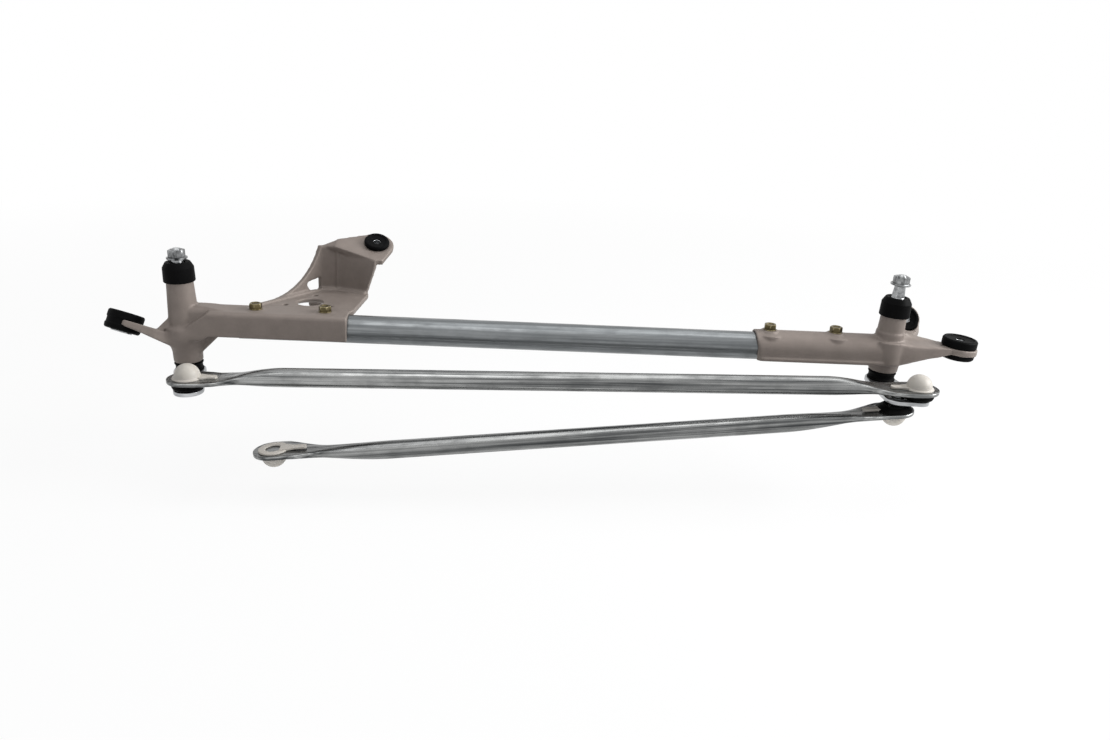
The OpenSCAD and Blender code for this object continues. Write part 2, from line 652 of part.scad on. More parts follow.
// Grommets: rubber spools in the ears, each round a metal sleeve
sleeve_r = sleeve_bore_r + sleeve_wall;
module grommet(outer, groove, h, groove_h, lift = 0) {
    low = lift - h / 2;
    high = lift + h / 2;
    color(rubber_colour) rotate_extrude()
        polygon([[sleeve_r + seat_gap, low], [outer - 1.5, low], [outer - 0.4, low + 1.2],
                 [outer, -groove_h / 2 - 0.6],
                 [outer - 0.6, -groove_h / 2 - seat_gap], [groove, -groove_h / 2 - seat_gap],
                 [groove, groove_h / 2 + seat_gap],
                 [outer - 0.6, groove_h / 2 + seat_gap], [outer, groove_h / 2 + 0.6], [outer, high - 1.5],
                 [outer - 1.2, high], [sleeve_r + 3.5, high],
                 [sleeve_r + 2.5, high - 0.8], [sleeve_r + seat_gap, high - 0.8]]);
}
sleeve_flange_t = 1.2;
module sleeve(h, lift = 0) {
    color(bright_colour) translate([0, 0, lift - h / 2 - sleeve_flange_t]) difference() {
        union() {
            cylinder(r = sleeve_r, h = h + sleeve_flange_t);
            cylinder(r = sleeve_flange_r, h = sleeve_flange_t - seat_gap);
        }
        translate([0, 0, -overlap]) cylinder(r = sleeve_bore_r, h = h + sleeve_flange_t + 2 * overlap);
    }
}

// Pivot shafts: bearing length, circlip groove, knurled taper and thread
clip_t = 1.2;
washer_t = 1.2;
clip_depth = 0.6;
module shaft(crank_top, tower_top, nut_z) {
    foot = crank_top - crank_t - 1;
    clip_z = tower_top + face_gap + washer_t;
    taper_z = nut_z - taper_l;
    color(bright_colour) rotate_extrude()
        polygon([[0, foot], [shaft_r - 1, foot], [shaft_r - 1, crank_top - crank_t],
                 [shaft_r - 1, crank_top], [shaft_r, crank_top],
                 [shaft_r, clip_z], [shaft_r - clip_depth, clip_z], [shaft_r - clip_depth, clip_z + clip_t],
                 [shaft_r, clip_z + clip_t], [shaft_r - 0.1, taper_z], [taper_top_r, nut_z - 1],
                 [thread_r, nut_z - 1],
                 [thread_r, nut_z + nut_h + shaft_past_nut - 1],
                 [thread_r - 1, nut_z + nut_h + shaft_past_nut],
                 [0, nut_z + nut_h + shaft_past_nut]]);
}
module thrust_washer(tower_top) {
    color(zinc_colour) translate([0, 0, tower_top + face_gap])
        ring(shaft_r + 2.8, shaft_r + seat_gap, washer_t);
}
module circlip(tower_top) {
    color(zinc_colour) translate([0, 0, tower_top + face_gap + washer_t]) difference() {
        ring(shaft_r + 1.8, shaft_r - clip_depth + seat_gap, clip_t);
        translate([0, -1.5, -overlap]) cube([shaft_d, 3, clip_t + 2 * overlap]);
    }
}
module nut(nut_z) {
    color(bright_colour) translate([0, 0, nut_z]) difference() {
        union() {
            cylinder(r = nut_flange_r, h = 1.4);
            translate([0, 0, 1.4]) cylinder(r1 = nut_flange_r - 0.3, r2 = nut_af / 2, h = 1.2);
            intersection() {
                cylinder(d = nut_af / cos(30), h = nut_h, $fn = 6);
                cylinder(r1 = nut_af, r2 = nut_af / 2 - 0.2, h = nut_h + 0.2);
            }
        }
        translate([0, 0, -overlap]) cylinder(r = thread_r + seat_gap, h = nut_h + 2 * overlap);
    }
}
module pivot_seal(crank_top) {
    color(rubber_colour) translate([0, 0, crank_top]) rotate_extrude()
        polygon([[shaft_r + seat_gap, 0], [bush_r + 4.2, 0], [bush_r + 4.6, 1],
                 [bush_r + 3.9, pivot_seal_h / 2],
                 [bush_r + 4.6, pivot_seal_h - 1], [bush_r + 4.2, pivot_seal_h],
                 [shaft_r + seat_gap, pivot_seal_h]]);
}

// Cranks: steel plates on the shafts, with a hole for each ball stud
stud_shank_r = 4;
module crank_plate(top) {
    color(zinc_colour) translate([0, 0, top - crank_t]) difference() {
        linear_extrude(crank_t) children();
        translate([0, 0, -overlap]) cylinder(r = shaft_r - 1 + seat_gap, h = crank_t + 2 * overlap);
    }
}
module stud_hole(place, top) {
    translate([place.x, place.y, top - crank_t - overlap]) cylinder(r = stud_shank_r + seat_gap,
        h = crank_t + 2 * overlap);
}
drive_stud_place = drive_ball_r * [-sin(drive_ball_lag), -cos(drive_ball_lag)];
module left_crank() {
    at_left_crank() difference() {
        crank_plate(left_crank_top)
            polygon(belt([[0, 0], [0, -crank_r]], [crank_hub_r, left_crank_end_r]));
        stud_hole([0, -crank_r], left_crank_top);
    }
}
module right_crank() {
    at_right_crank() difference() {
        crank_plate(right_crank_top)
            polygon(belt([[0, 0], drive_stud_place, [0, -crank_r]],
                [crank_hub_r, right_crank_end_r, right_crank_end_r]));
        stud_hole([0, -crank_r], right_crank_top);
        stud_hole(drive_stud_place, right_crank_top);
    }
}
// Ball stud standing on a crank face at zero, riveted on the other face
collar_h = 1.6;
rivet_h = 1.3;
module ball_stud() {
    color(bright_colour) union() {
        translate([0, 0, ball_rise]) sphere(r = ball_r);
        cylinder(r = ball_neck_r, h = ball_rise);
        cylinder(r = stud_shank_r + 1.4, h = collar_h);
        translate([0, 0, -crank_t]) cylinder(r = stud_shank_r, h = crank_t + overlap);
        translate([0, 0, -crank_t - rivet_h]) cylinder(r1 = stud_shank_r + 0.6, r2 = stud_shank_r + 1.8,
            h = rivet_h);
    }
}
module left_ball_stud() { at_left_crank() translate([0, -crank_r, left_crank_top]) ball_stud(); }
module right_ball_stud() { at_right_crank() translate([0, -crank_r, right_crank_top]) ball_stud(); }
module drive_ball_stud() {
    at_drive_stud() translate([0, 0, right_crank_top - crank_t]) mirror([0, 0, 1]) ball_stud();
}

// Links: steel tubes pressed flat at both ends, with a scoop where the flat part begins.
// A section of a link is an oval that changes from a flat plate to the full tube.
link_sides = 24;
link_r = link_d / 2;
press_start = 20;
scoop = 3.4;
edge_sharp = 5;
function eased(t) = let (c = min(max(t, 0), 1)) c * c * (3 - 2 * c);
function opened(x) = eased((x - press_start) / (link_roll_end - press_start));
function half_width(x) = x < 0 ? sqrt(max(pow(link_end_r, 2) - x * x, 1))
                               : link_end_r + (link_r - link_end_r) * eased((x - 6) / (link_roll_end - 8));
function half_height(up, t) = link_t / 2 * (1 - t) * min(1, edge_sharp * up) + link_r * t * up;
function link_section(x, end_x, rise) = let (t = opened(end_x), w = half_width(end_x))
    [for (i = [0 : link_sides - 1])
    let (a = 360 * i / link_sides, up = abs(sin(a)))
    [x, w * cos(a), -plate_drop + rise * t
        + (sin(a) < 0 ? -half_height(up, t) : half_height(up, t) - scoop * 4 * t * (1 - t) * pow(up, 3))]];
tip_steps = 6;
press_steps = 8;
function end_stations() = concat([for (i = [0 : tip_steps]) -link_end_r * cos(8 + 82 * i / tip_steps)],
    [press_start / 2],
    [for (i = [0 : press_steps]) press_start + (link_roll_end - press_start) * i / press_steps]);
vent_r = 2;
module link_tube(length, rise) {
    ends = end_stations();
    count = len(ends);
    points = concat([for (x = ends) each link_section(x, x, rise)],
                    [for (i = [count - 1 : -1 : 0]) each link_section(length - ends[i], ends[i], rise)]);
    last = (2 * count - 1) * link_sides;
    faces = concat([[for (i = [0 : link_sides - 1]) i]], [[for (i = [link_sides - 1 : -1 : 0]) last + i]],
        [for (k = [0 : 2 * count - 2], i = [0 : link_sides - 1])
            let (a = k * link_sides + i, b = k * link_sides + (i + 1) % link_sides)
            each [[a, a + link_sides, b], [b, a + link_sides, b + link_sides]]]);
    difference() {
        polyhedron(points, faces);
        translate([link_roll_end + 2, 0, rise - plate_drop]) rotate([0, 90, 0])
            cylinder(r = link_r - link_wall, h = length - 2 * link_roll_end - 4);
        translate([link_roll_end + 8, 0, rise - plate_drop - 2 * link_r])
            cylinder(r = vent_r, h = 2 * link_r);
        for (x = [0, length]) translate([x, 0, -plate_drop - 10])
            cylinder(r = socket_stem_r + seat_gap, h = 20);
        for (x = [tail_x, length - tail_x]) translate([x, 0, -plate_drop - 10])
            cylinder(r = tail_peg_r + seat_gap, h = 20);
    }
}
module long_link() { color(zinc_colour) at_long_link() link_tube(long_length, long_axis_rise); }
module drive_link() { color(zinc_colour) at_drive_link() link_tube(drive_length, drive_axis_rise); }

// Nylon ball sockets: a dome on one face of the link, a flange on the other,
// and a tail with a peg that stops the socket from turning
socket_stem_r = 11.2;
socket_flange_r = 12.8;
socket_flange_t = 1.5;
tail_x = 24;
tail_w = 6;
tail_h = 2.2;
tail_peg_r = 2;
module socket(gap) {
    top = -plate_drop + link_t / 2 + seat_gap;
    under = -plate_drop - link_t / 2 - seat_gap;
    mouth = under - socket_flange_t;
    color(nylon_colour) difference() {
        union() {
            intersection() {
                sphere(r = dome_r);
                translate([0, 0, top]) cylinder(r = dome_r + 1, h = dome_r - top);
            }
            translate([0, 0, top]) cylinder(r = dome_r, h = 1.4);
            translate([0, 0, mouth]) cylinder(r = socket_stem_r, h = top - mouth + overlap);
            translate([0, 0, mouth]) cylinder(r = socket_flange_r, h = socket_flange_t);
            translate([0, -tail_w / 2, top]) cube([tail_x, tail_w, tail_h]);
            translate([tail_x, 0, top]) cylinder(d = tail_w, h = tail_h);
            translate([tail_x, 0, under]) cylinder(r = tail_peg_r, h = top - under + overlap);
        }
        sphere(r = ball_r + gap);
        translate([0, 0, mouth - overlap]) cylinder(r1 = ball_neck_r + 2.2, r2 = ball_neck_r + 1,
            h = socket_flange_t + overlap);
    }
}
module link_seal(gap_end) {
    top = -plate_drop - link_t / 2 - socket_flange_t - 2 * seat_gap;
    foot = -ball_rise + gap_end;
    color(rubber_colour) rotate_extrude()
        polygon([[stud_shank_r + 3.4, top], [link_seal_r - 0.5, top], [link_seal_r, top - 0.6],
                 [link_seal_r, (top + foot) / 2],
                 [link_seal_r - 1, foot], [stud_shank_r + 3.4, foot]]);
}
// Boot on the drive link: a cone that narrows towards the crank
boot_foot_r = 15.8;
boot_top_r = 10;
boot_gap = 2;
module drive_boot() {
    under = -plate_drop - link_t / 2 - seat_gap;
    foot = -ball_rise + boot_gap;
    color(rubber_colour) rotate_extrude()
        polygon([[socket_flange_r + seat_gap, under], [boot_foot_r - 0.6, under],
                 [boot_foot_r, under - 0.8], [boot_top_r + 2.4, (under + foot) / 2 - 0.8],
                 [boot_top_r, foot], [stud_shank_r + 3.4, foot],
                 [stud_shank_r + 3.4, under - socket_flange_t - seat_gap],
                 [socket_flange_r + seat_gap, under - socket_flange_t - seat_gap]]);
}

frame_tube();
left_housing();
right_housing();
left_tube_screws();
right_tube_screws();
at_left_pivot() bush(left_tower_top - bush_l);  // left_upper_bush
at_left_pivot() bush(-left_boss_drop);  // left_lower_bush
at_right_pivot() bush(right_tower_top - bush_l);  // right_upper_bush
at_right_pivot() bush(-right_boss_drop);  // right_lower_bush
at_left_pivot() cap(left_tower_top);  // left_cap
at_right_pivot() cap(right_tower_top);  // right_cap
at_left_mount() grommet(grommet_r, groove_r, left_grommet_h, left_ear_t);  // left_grommet
at_right_mount() grommet(grommet_r, groove_r, right_grommet_h, ear_t, right_grommet_lift);  // right_grommet
at_rear_mount() grommet(small_grommet_r, small_groove_r, small_grommet_h, ear_t);  // rear_grommet
at_bracket_mount() grommet(small_grommet_r, small_groove_r, small_grommet_h, bracket_ear_t);  // bracket_grommet
at_left_mount() sleeve(left_grommet_h);  // left_sleeve
at_right_mount() sleeve(right_grommet_h, right_grommet_lift);  // right_sleeve
at_rear_mount() sleeve(small_grommet_h);  // rear_sleeve
at_bracket_mount() sleeve(small_grommet_h);  // bracket_sleeve
at_left_pivot() shaft(left_crank_top, left_tower_top, left_nut_z);  // left_shaft
at_right_pivot() shaft(right_crank_top, right_tower_top, right_nut_z);  // right_shaft
left_crank();
right_crank();
left_ball_stud();
right_ball_stud();
drive_ball_stud();
at_left_pivot() pivot_seal(left_crank_top);  // left_pivot_seal
at_right_pivot() pivot_seal(right_crank_top);  // right_pivot_seal
at_left_pivot() thrust_washer(left_tower_top);  // left_thrust_washer
at_right_pivot() thrust_washer(right_tower_top);  // right_thrust_washer
at_left_pivot() circlip(left_tower_top);  // left_circlip
at_right_pivot() circlip(right_tower_top);  // right_circlip
at_left_pivot() nut(left_nut_z);  // left_nut
at_right_pivot() nut(right_nut_z);  // right_nut
long_link();
at_long_link() socket(loose_ball_gap);  // long_link_left_socket
at_long_link() translate([long_length, 0, 0]) rotate([0, 0, 180]) socket(ball_gap);  // long_link_right_socket
at_long_link() link_seal(link_seal_gap);  // long_link_left_seal
at_long_link() translate([long_length, 0, 0]) link_seal(link_seal_gap);  // long_link_right_seal
drive_link();
at_drive_link() socket(ball_gap);  // drive_link_socket
at_drive_link() drive_boot();  // drive_link_boot
at_drive_link() translate([drive_length, 0, 0]) rotate([0, 0, 180]) socket(ball_gap);  // motor_socket
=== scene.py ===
# Wiper linkage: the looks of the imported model, in metres, in the frame of the CAD part.
import math

import bmesh
import bpy
from mathutils import Matrix, Vector


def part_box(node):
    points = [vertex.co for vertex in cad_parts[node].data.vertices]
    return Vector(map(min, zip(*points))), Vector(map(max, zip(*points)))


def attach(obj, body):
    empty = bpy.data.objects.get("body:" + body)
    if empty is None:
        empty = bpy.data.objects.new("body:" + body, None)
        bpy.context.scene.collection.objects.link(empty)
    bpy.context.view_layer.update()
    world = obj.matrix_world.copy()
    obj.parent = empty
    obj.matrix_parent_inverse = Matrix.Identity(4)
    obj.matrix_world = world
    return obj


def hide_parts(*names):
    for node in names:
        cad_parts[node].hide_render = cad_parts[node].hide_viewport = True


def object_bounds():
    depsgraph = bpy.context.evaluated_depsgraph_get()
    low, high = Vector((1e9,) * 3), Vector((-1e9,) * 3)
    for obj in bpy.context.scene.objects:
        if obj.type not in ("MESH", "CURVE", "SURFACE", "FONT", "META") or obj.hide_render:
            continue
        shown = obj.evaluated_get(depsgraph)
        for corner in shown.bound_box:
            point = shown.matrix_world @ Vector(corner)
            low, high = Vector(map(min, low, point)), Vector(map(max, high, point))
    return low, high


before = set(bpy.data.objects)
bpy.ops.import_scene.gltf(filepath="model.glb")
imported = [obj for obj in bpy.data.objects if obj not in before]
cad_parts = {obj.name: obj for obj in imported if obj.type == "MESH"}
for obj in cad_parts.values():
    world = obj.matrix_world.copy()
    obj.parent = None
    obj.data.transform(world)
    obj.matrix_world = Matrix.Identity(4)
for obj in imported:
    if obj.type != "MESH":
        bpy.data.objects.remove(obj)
cad_box = [list(corner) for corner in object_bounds()]

# Camera
# The view of the photograph: in front of the tube's middle, a little above it,
# with the horizon tipped so that the frame falls slightly to the right.
mm = 0.001
eye = Vector((338.89, -831.78, 262.30)) * mm
aim = Vector((381.3, 0, -31.3)) * mm
roll = math.radians(3.2)
forward = (aim - eye).normalized()
level = forward.cross(Vector((0, 0, 1))).normalized()
upright = level.cross(forward)
right = level * math.cos(roll) + upright * math.sin(roll)
up = upright * math.cos(roll) - level * math.sin(roll)
camera_data = bpy.data.cameras.new("photo_camera")
camera_data.sensor_fit = "HORIZONTAL"
camera_data.sensor_width = 36
camera_data.lens = 31.44
camera = bpy.data.objects.new("photo_camera", camera_data)
camera.matrix_world = Matrix.Translation(eye) @ Matrix((right, up, -forward)).transposed().to_4x4()
bpy.context.scene.collection.objects.link(camera)
bpy.context.scene.camera = camera

# Stage
# A pale floor below the drive link's lowest swing, a wide softbox above, one far to the right and
# a weak one at the front left. Floor and world look white, and the floor keeps a soft shadow.
bpy.context.scene.view_settings.view_transform = "Standard"


def put(tree, kind, **settings):
    """A new node, with sockets and properties set by name."""
    node = tree.nodes.new(kind)
    for key, value in settings.items():
        if key in node.inputs:
            node.inputs[key].default_value = value
        else:
            setattr(node, key, value)
    return node


def wired(tree, *wires):
    """Links in a node tree, each given by its output and its input."""
    for source, target in wires:
        tree.links.new(source, target)


def ranged(tree, socket, low, high, to_low=0.0, to_high=1.0):
    """A value moved from one range to another and held inside it."""
    spread = put(tree, "ShaderNodeMapRange", clamp=True)
    for key, value in (("From Min", low), ("From Max", high), ("To Min", to_low), ("To Max", to_high)):
        spread.inputs[key].default_value = value
    tree.links.new(socket, spread.inputs["Value"])
    return spread.outputs["Result"]


def seen_white(tree):
    """A mask that is one for rays from the camera, from gloss and through clear things."""
    path = put(tree, "ShaderNodeLightPath")
    gloss = put(tree, "ShaderNodeMath", operation="MAXIMUM")
    either = put(tree, "ShaderNodeMath", operation="MAXIMUM")
    wired(tree,
          (path.outputs["Is Glossy Ray"], gloss.inputs[0]),
          (path.outputs["Is Transmission Ray"], gloss.inputs[1]),
          (path.outputs["Is Camera Ray"], either.inputs[0]),
          (gloss.outputs[0], either.inputs[1]))
    return either.outputs[0]


world = bpy.data.worlds.new("studio")
world.use_nodes = True
bpy.context.scene.world = world
sky = world.node_tree
room_light = sky.nodes["Background"]
room_light.inputs["Color"].default_value = (0.95, 0.97, 1.0, 1)
room_light.inputs["Strength"].default_value = 0.28
white_wall = put(sky, "ShaderNodeBackground", Color=(1, 1, 1, 1), Strength=1.0)
sky_mix = put(sky, "ShaderNodeMixShader")
wired(sky,
      (seen_white(sky), sky_mix.inputs["Fac"]),
      (room_light.outputs[0], sky_mix.inputs[1]),
      (white_wall.outputs[0], sky_mix.inputs[2]),
      (sky_mix.outputs[0], sky.nodes["World Output"].inputs["Surface"]))

shadow_middle, shadow_near, shadow_far = (0.38, 0, 0), 0.5, 1.6
floor_paint = bpy.data.materials.new("pale_floor")
floor_paint.use_nodes = True
paint = floor_paint.node_tree
paint.nodes.remove(paint.nodes["Principled BSDF"])
matt = put(paint, "ShaderNodeBsdfDiffuse", Color=(0.86, 0.86, 0.86, 1))
glow = put(paint, "ShaderNodeEmission", Color=(1, 1, 1, 1), Strength=1.0)
spot = put(paint, "ShaderNodeTexCoord")
away = put(paint, "ShaderNodeVectorMath", operation="DISTANCE")
away.inputs[1].default_value = shadow_middle
share = put(paint, "ShaderNodeMath", operation="MULTIPLY")
floor_mix = put(paint, "ShaderNodeMixShader")
wired(paint,
      (spot.outputs["Object"], away.inputs[0]),
      (seen_white(paint), share.inputs[0]),
      (ranged(paint, away.outputs["Value"], shadow_near, shadow_far, 0.90, 1.0), share.inputs[1]),
      (share.outputs[0], floor_mix.inputs["Fac"]),
      (matt.outputs[0], floor_mix.inputs[1]),
      (glow.outputs[0], floor_mix.inputs[2]),
      (floor_mix.outputs[0], paint.nodes["Material Output"].inputs["Surface"]))
floor_half, floor_gap = 12.0, 0.030
floor_z = cad_box[0][2] - floor_gap
square = ((-1, -1), (1, -1), (1, 1), (-1, 1))
floor_mesh = bpy.data.meshes.new("floor")
floor_mesh.from_pydata([(x * floor_half, y * floor_half, floor_z) for x, y in square], [], [(0, 1, 2, 3)])
floor_mesh.materials.append(floor_paint)
floor = bpy.data.objects.new("floor", floor_mesh)
bpy.context.scene.collection.objects.link(floor)


def softbox(name, place, target, size, watts):
    """A rectangular lamp that faces its target."""
    lamp = bpy.data.lights.new(name, "AREA")
    lamp.shape = "RECTANGLE"
    lamp.size, lamp.size_y = size
    lamp.energy = watts
    box = bpy.data.objects.new(name, lamp)
    box.location = place
    box.rotation_euler = (Vector(target) - Vector(place)).to_track_quat("-Z", "Y").to_euler()
    bpy.context.scene.collection.objects.link(box)


softbox("strip_above", (0.45, -0.05, 1.05), (0.40, 0.0, 0.0), (1.7, 0.85), 7.5)
softbox("side_right", (2.10, -0.15, 0.85), (0.45, 0.0, 0.0), (0.9, 0.9), 40.0)
softbox("front_left", (-0.50, -0.85, 0.45), (0.15, 0.0, 0.0), (0.9, 0.6), 0.8)

# Frame tube
# A seam-welded steel tube, zinc plated, cut square and pushed into both housings.
# The plating has pale and dark streaks along the drawing direction and dull blotches.


def new_group(name, inputs, outputs):
    group = bpy.data.node_groups.new(name, "ShaderNodeTree")
    for label, kind, value in inputs:
        group.interface.new_socket(label, in_out="INPUT", socket_type=kind).default_value = value
    for label, kind in outputs:
        group.interface.new_socket(label, in_out="OUTPUT", socket_type=kind)
    return group, group.nodes.new("NodeGroupInput"), group.nodes.new("NodeGroupOutput")


def mixed(tree, mask, first, second):
    """A colour between two others, each a plain colour or another node's output."""
    blend = put(tree, "ShaderNodeMix", data_type="RGBA")
    tree.links.new(mask, blend.inputs["Factor"])
    for place, colour in ((6, first), (7, second)):
        if isinstance(colour, tuple):
            blend.inputs[place].default_value = (*colour, 1)
        else:
            tree.links.new(colour, blend.inputs[place])
    return blend.outputs[2]


def drawn_streaks():
    """Long streaks and round blotches, as drawing and plating leave them on steel."""
    group, given, made = new_group(
        "drawn_streaks",
        [("Turn", "NodeSocketVector", (0, 0, 0)), ("Stretch", "NodeSocketVector", (1, 1, 1)),
         ("Fineness", "NodeSocketFloat", 300.0)],
        [("Streak", "NodeSocketFloat"), ("Blotch", "NodeSocketFloat"), ("Height", "NodeSocketFloat")])
    fine_share = 0.35
    place = put(group, "ShaderNodeTexCoord")
    along = put(group, "ShaderNodeVectorRotate", rotation_type="EULER_XYZ")
    scale = put(group, "ShaderNodeVectorMath", operation="MULTIPLY")
    halfway = put(group, "ShaderNodeVectorMath", operation="ADD")
    lines = put(group, "ShaderNodeTexNoise", Detail=5.0, Roughness=0.6)
    spots = put(group, "ShaderNodeTexNoise", Scale=46.0, Detail=5.0, Roughness=0.6)
    fine = put(group, "ShaderNodeTexNoise", Scale=1500.0, Detail=2.0)
    both = put(group, "ShaderNodeMath", operation="MULTIPLY_ADD")
    both.inputs[1].default_value = fine_share
    wired(group,
          (place.outputs["Object"], along.inputs["Vector"]),
          (given.outputs["Turn"], along.inputs["Rotation"]),
          (along.outputs["Vector"], scale.inputs[0]),
          (given.outputs["Stretch"], scale.inputs[1]),
          (scale.outputs[0], lines.inputs["Vector"]),
          (given.outputs["Fineness"], lines.inputs["Scale"]),
          (along.outputs["Vector"], halfway.inputs[0]),
          (scale.outputs[0], halfway.inputs[1]),
          (halfway.outputs[0], spots.inputs["Vector"]),
          (place.outputs["Object"], fine.inputs["Vector"]),
          (fine.outputs["Fac"], both.inputs[0]),
          (lines.outputs["Fac"], both.inputs[2]),
          (ranged(group, lines.outputs["Fac"], 0.36, 0.66), made.inputs["Streak"]),
          (ranged(group, spots.outputs["Fac"], 0.42, 0.66), made.inputs["Blotch"]),
          (both.outputs[0], made.inputs["Height"]))
    return group


streaks = drawn_streaks()


def new_finish(name):
    finish = bpy.data.materials.new(name)
    finish.use_nodes = True
    return finish, finish.node_tree, finish.node_tree.nodes["Principled BSDF"]


def bumped(tree, shader, height, depth, strength):
    bump = put(tree, "ShaderNodeBump", Strength=strength, Distance=depth)
    wired(tree, (height, bump.inputs["Height"]), (bump.outputs["Normal"], shader.inputs["Normal"]))


def plated_steel(name, dark, pale, stretch, fineness, rough, turn=(0, 0, 0)):
    """Zinc plating with streaks between two greys, and blotches that are darker and rougher."""
    blotch_share, blotch_dark, blotch_rough = 0.36, 0.72, 0.16
    finish, tree, shader = new_finish(name)
    grain = put(tree, "ShaderNodeGroup", node_tree=streaks, Turn=turn, Stretch=stretch, Fineness=fineness)
    plating = mixed(tree, grain.outputs["Streak"], dark, pale)
    blotch = ranged(tree, grain.outputs["Blotch"], 0, 1, 0, blotch_share)
    dulled = tuple(blotch_dark * c for c in dark)
    rougher = ranged(tree, grain.outputs["Blotch"], 0, 1, rough, rough + blotch_rough)
    wired(tree,
          (mixed(tree, blotch, plating, dulled), shader.inputs["Base Color"]),
          (rougher, shader.inputs["Roughness"]))
    shader.inputs["Metallic"].default_value = 0.92
    bumped(tree, shader, grain.outputs["Height"], 0.00012, 0.35)
    return finish


tube_steel = plated_steel("galvanised_tube", (0.125, 0.134, 0.139), (0.235, 0.246, 0.252),
                          (0.012, 1, 1), 480.0, 0.28)


def filleted(corners, steps=4):
    """An outline whose corners (x, y, radius) are rounded."""
    outline = []
    for i, (x, y, radius) in enumerate(corners):
        here = Vector((x, y))
        if radius == 0:
            outline.append(here)
            continue
        back = Vector(corners[i - 1][:2]) - here
        ahead = Vector(corners[(i + 1) % len(corners)][:2]) - here
        reach = min(radius / math.tan(back.angle(ahead) / 2), 0.48 * back.length, 0.48 * ahead.length)
        start = here + back.normalized() * reach
        end = here + ahead.normalized() * reach
        for k in range(steps + 1):
            t = k / steps
            outline.append((1 - t) ** 2 * start + 2 * t * (1 - t) * here + t * t * end)
    return outline


def sharpened(bm, angle=38):
    """Smooth faces, with the edges over that many degrees kept sharp."""
    for face in bm.faces:
        face.smooth = True
    for edge in bm.edges:
        edge.smooth = len(edge.link_faces) == 2 and edge.calc_face_angle(0) < math.radians(angle)


def turned(corners, sides=96):
    """A closed outline of radius, height and corner radius, in millimetres, spun round Z."""
    outline = filleted(corners)
    bm = bmesh.new()
    rings = []
    for k in range(sides):
        a = 2 * math.pi * k / sides
        cosine, sine = math.cos(a), math.sin(a)
        rings.append([bm.verts.new((r * cosine * mm, r * sine * mm, z * mm)) for r, z in outline])
    for k in range(sides):
        one, two = rings[k], rings[(k + 1) % sides]
        for i in range(len(outline)):
            j = (i + 1) % len(outline)
            if outline[i].x < 1e-6 and outline[j].x < 1e-6:
                continue
            bm.faces.new((one[i], two[i], two[j], one[j]))
    bmesh.ops.remove_doubles(bm, verts=bm.verts, dist=1e-7)
    bmesh.ops.recalc_face_normals(bm, faces=bm.faces)
    return bm


def piece(name, source, finish, body, nodes=(), place=Matrix.Identity(4), angle=38):
    """A finished piece from a bmesh or a mesh: placed, painted, carried by its body."""
    if isinstance(source, bmesh.types.BMesh):
        sharpened(source, angle)
        mesh = bpy.data.meshes.new(name)
        source.to_mesh(mesh)
        source.free()
    else:
        mesh = source
        mesh.name = name
    mesh.transform(place)
    mesh.materials.clear()
    mesh.materials.append(finish)
    made = bpy.data.objects.new(name, mesh)
    bpy.context.scene.collection.objects.link(made)
    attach(made, body)
    if nodes:
        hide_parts(*nodes)


def at(x, y, z):
    """A move to a point given in millimetres."""
    return Matrix.Translation(Vector((x, y, z)) * mm)


def tilt(degrees, axis):
    return Matrix.Rotation(math.radians(degrees), 4, axis)


tube_low, tube_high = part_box("frame_tube")
tube_r, tube_wall = 12.5, 1.5
tube_from, tube_to = tube_low.x / mm, tube_high.x / mm
tube_ring = turned([(tube_r - tube_wall, tube_from, 0.2), (tube_r, tube_from, 0.3),
                    (tube_r, tube_to, 0.3), (tube_r - tube_wall, tube_to, 0.2)], 128)
piece("tube", tube_ring, tube_steel, "frame", ["frame_tube"], tilt(90, "Y"))

# Pivot housings
# Two die castings in a warm grey aluminium alloy, blasted to a fine even grain.
# Every edge and inner corner is rounded by the die, rubbed edges are a little brighter, and inner corners
# are darkened with painted shade.


def cast_skin():
    """Blasted grain, wide mottling and small pits of a die casting."""
    group, given, made = new_group(
        "cast_skin", [("Fineness", "NodeSocketFloat", 1300.0)],
        [("Mottle", "NodeSocketFloat"), ("Pits", "NodeSocketFloat"), ("Height", "NodeSocketFloat")])
    pit_depth = -0.5
    place = put(group, "ShaderNodeTexCoord")
    grain = put(group, "ShaderNodeTexNoise", Detail=3.0, Roughness=0.65)
    cloud = put(group, "ShaderNodeTexNoise", Scale=70.0, Detail=5.0, Roughness=0.6)
    pits = put(group, "ShaderNodeTexVoronoi", Scale=420.0, Randomness=1.0)
    lower = put(group, "ShaderNodeMath", operation="MULTIPLY_ADD")
    lower.inputs[1].default_value = pit_depth
    for texture in (grain, cloud, pits):
        group.links.new(place.outputs["Object"], texture.inputs["Vector"])
    hole = ranged(group, pits.outputs["Distance"], 0.05, 0.16, 1.0, 0.0)
    wired(group,
          (given.outputs["Fineness"], grain.inputs["Scale"]),
          (hole, lower.inputs[0]),
          (grain.outputs["Fac"], lower.inputs[2]),
          (ranged(group, cloud.outputs["Fac"], 0.32, 0.68), made.inputs["Mottle"]),
          (hole, made.inputs["Pits"]),
          (lower.outputs[0], made.inputs["Height"]))
    return group


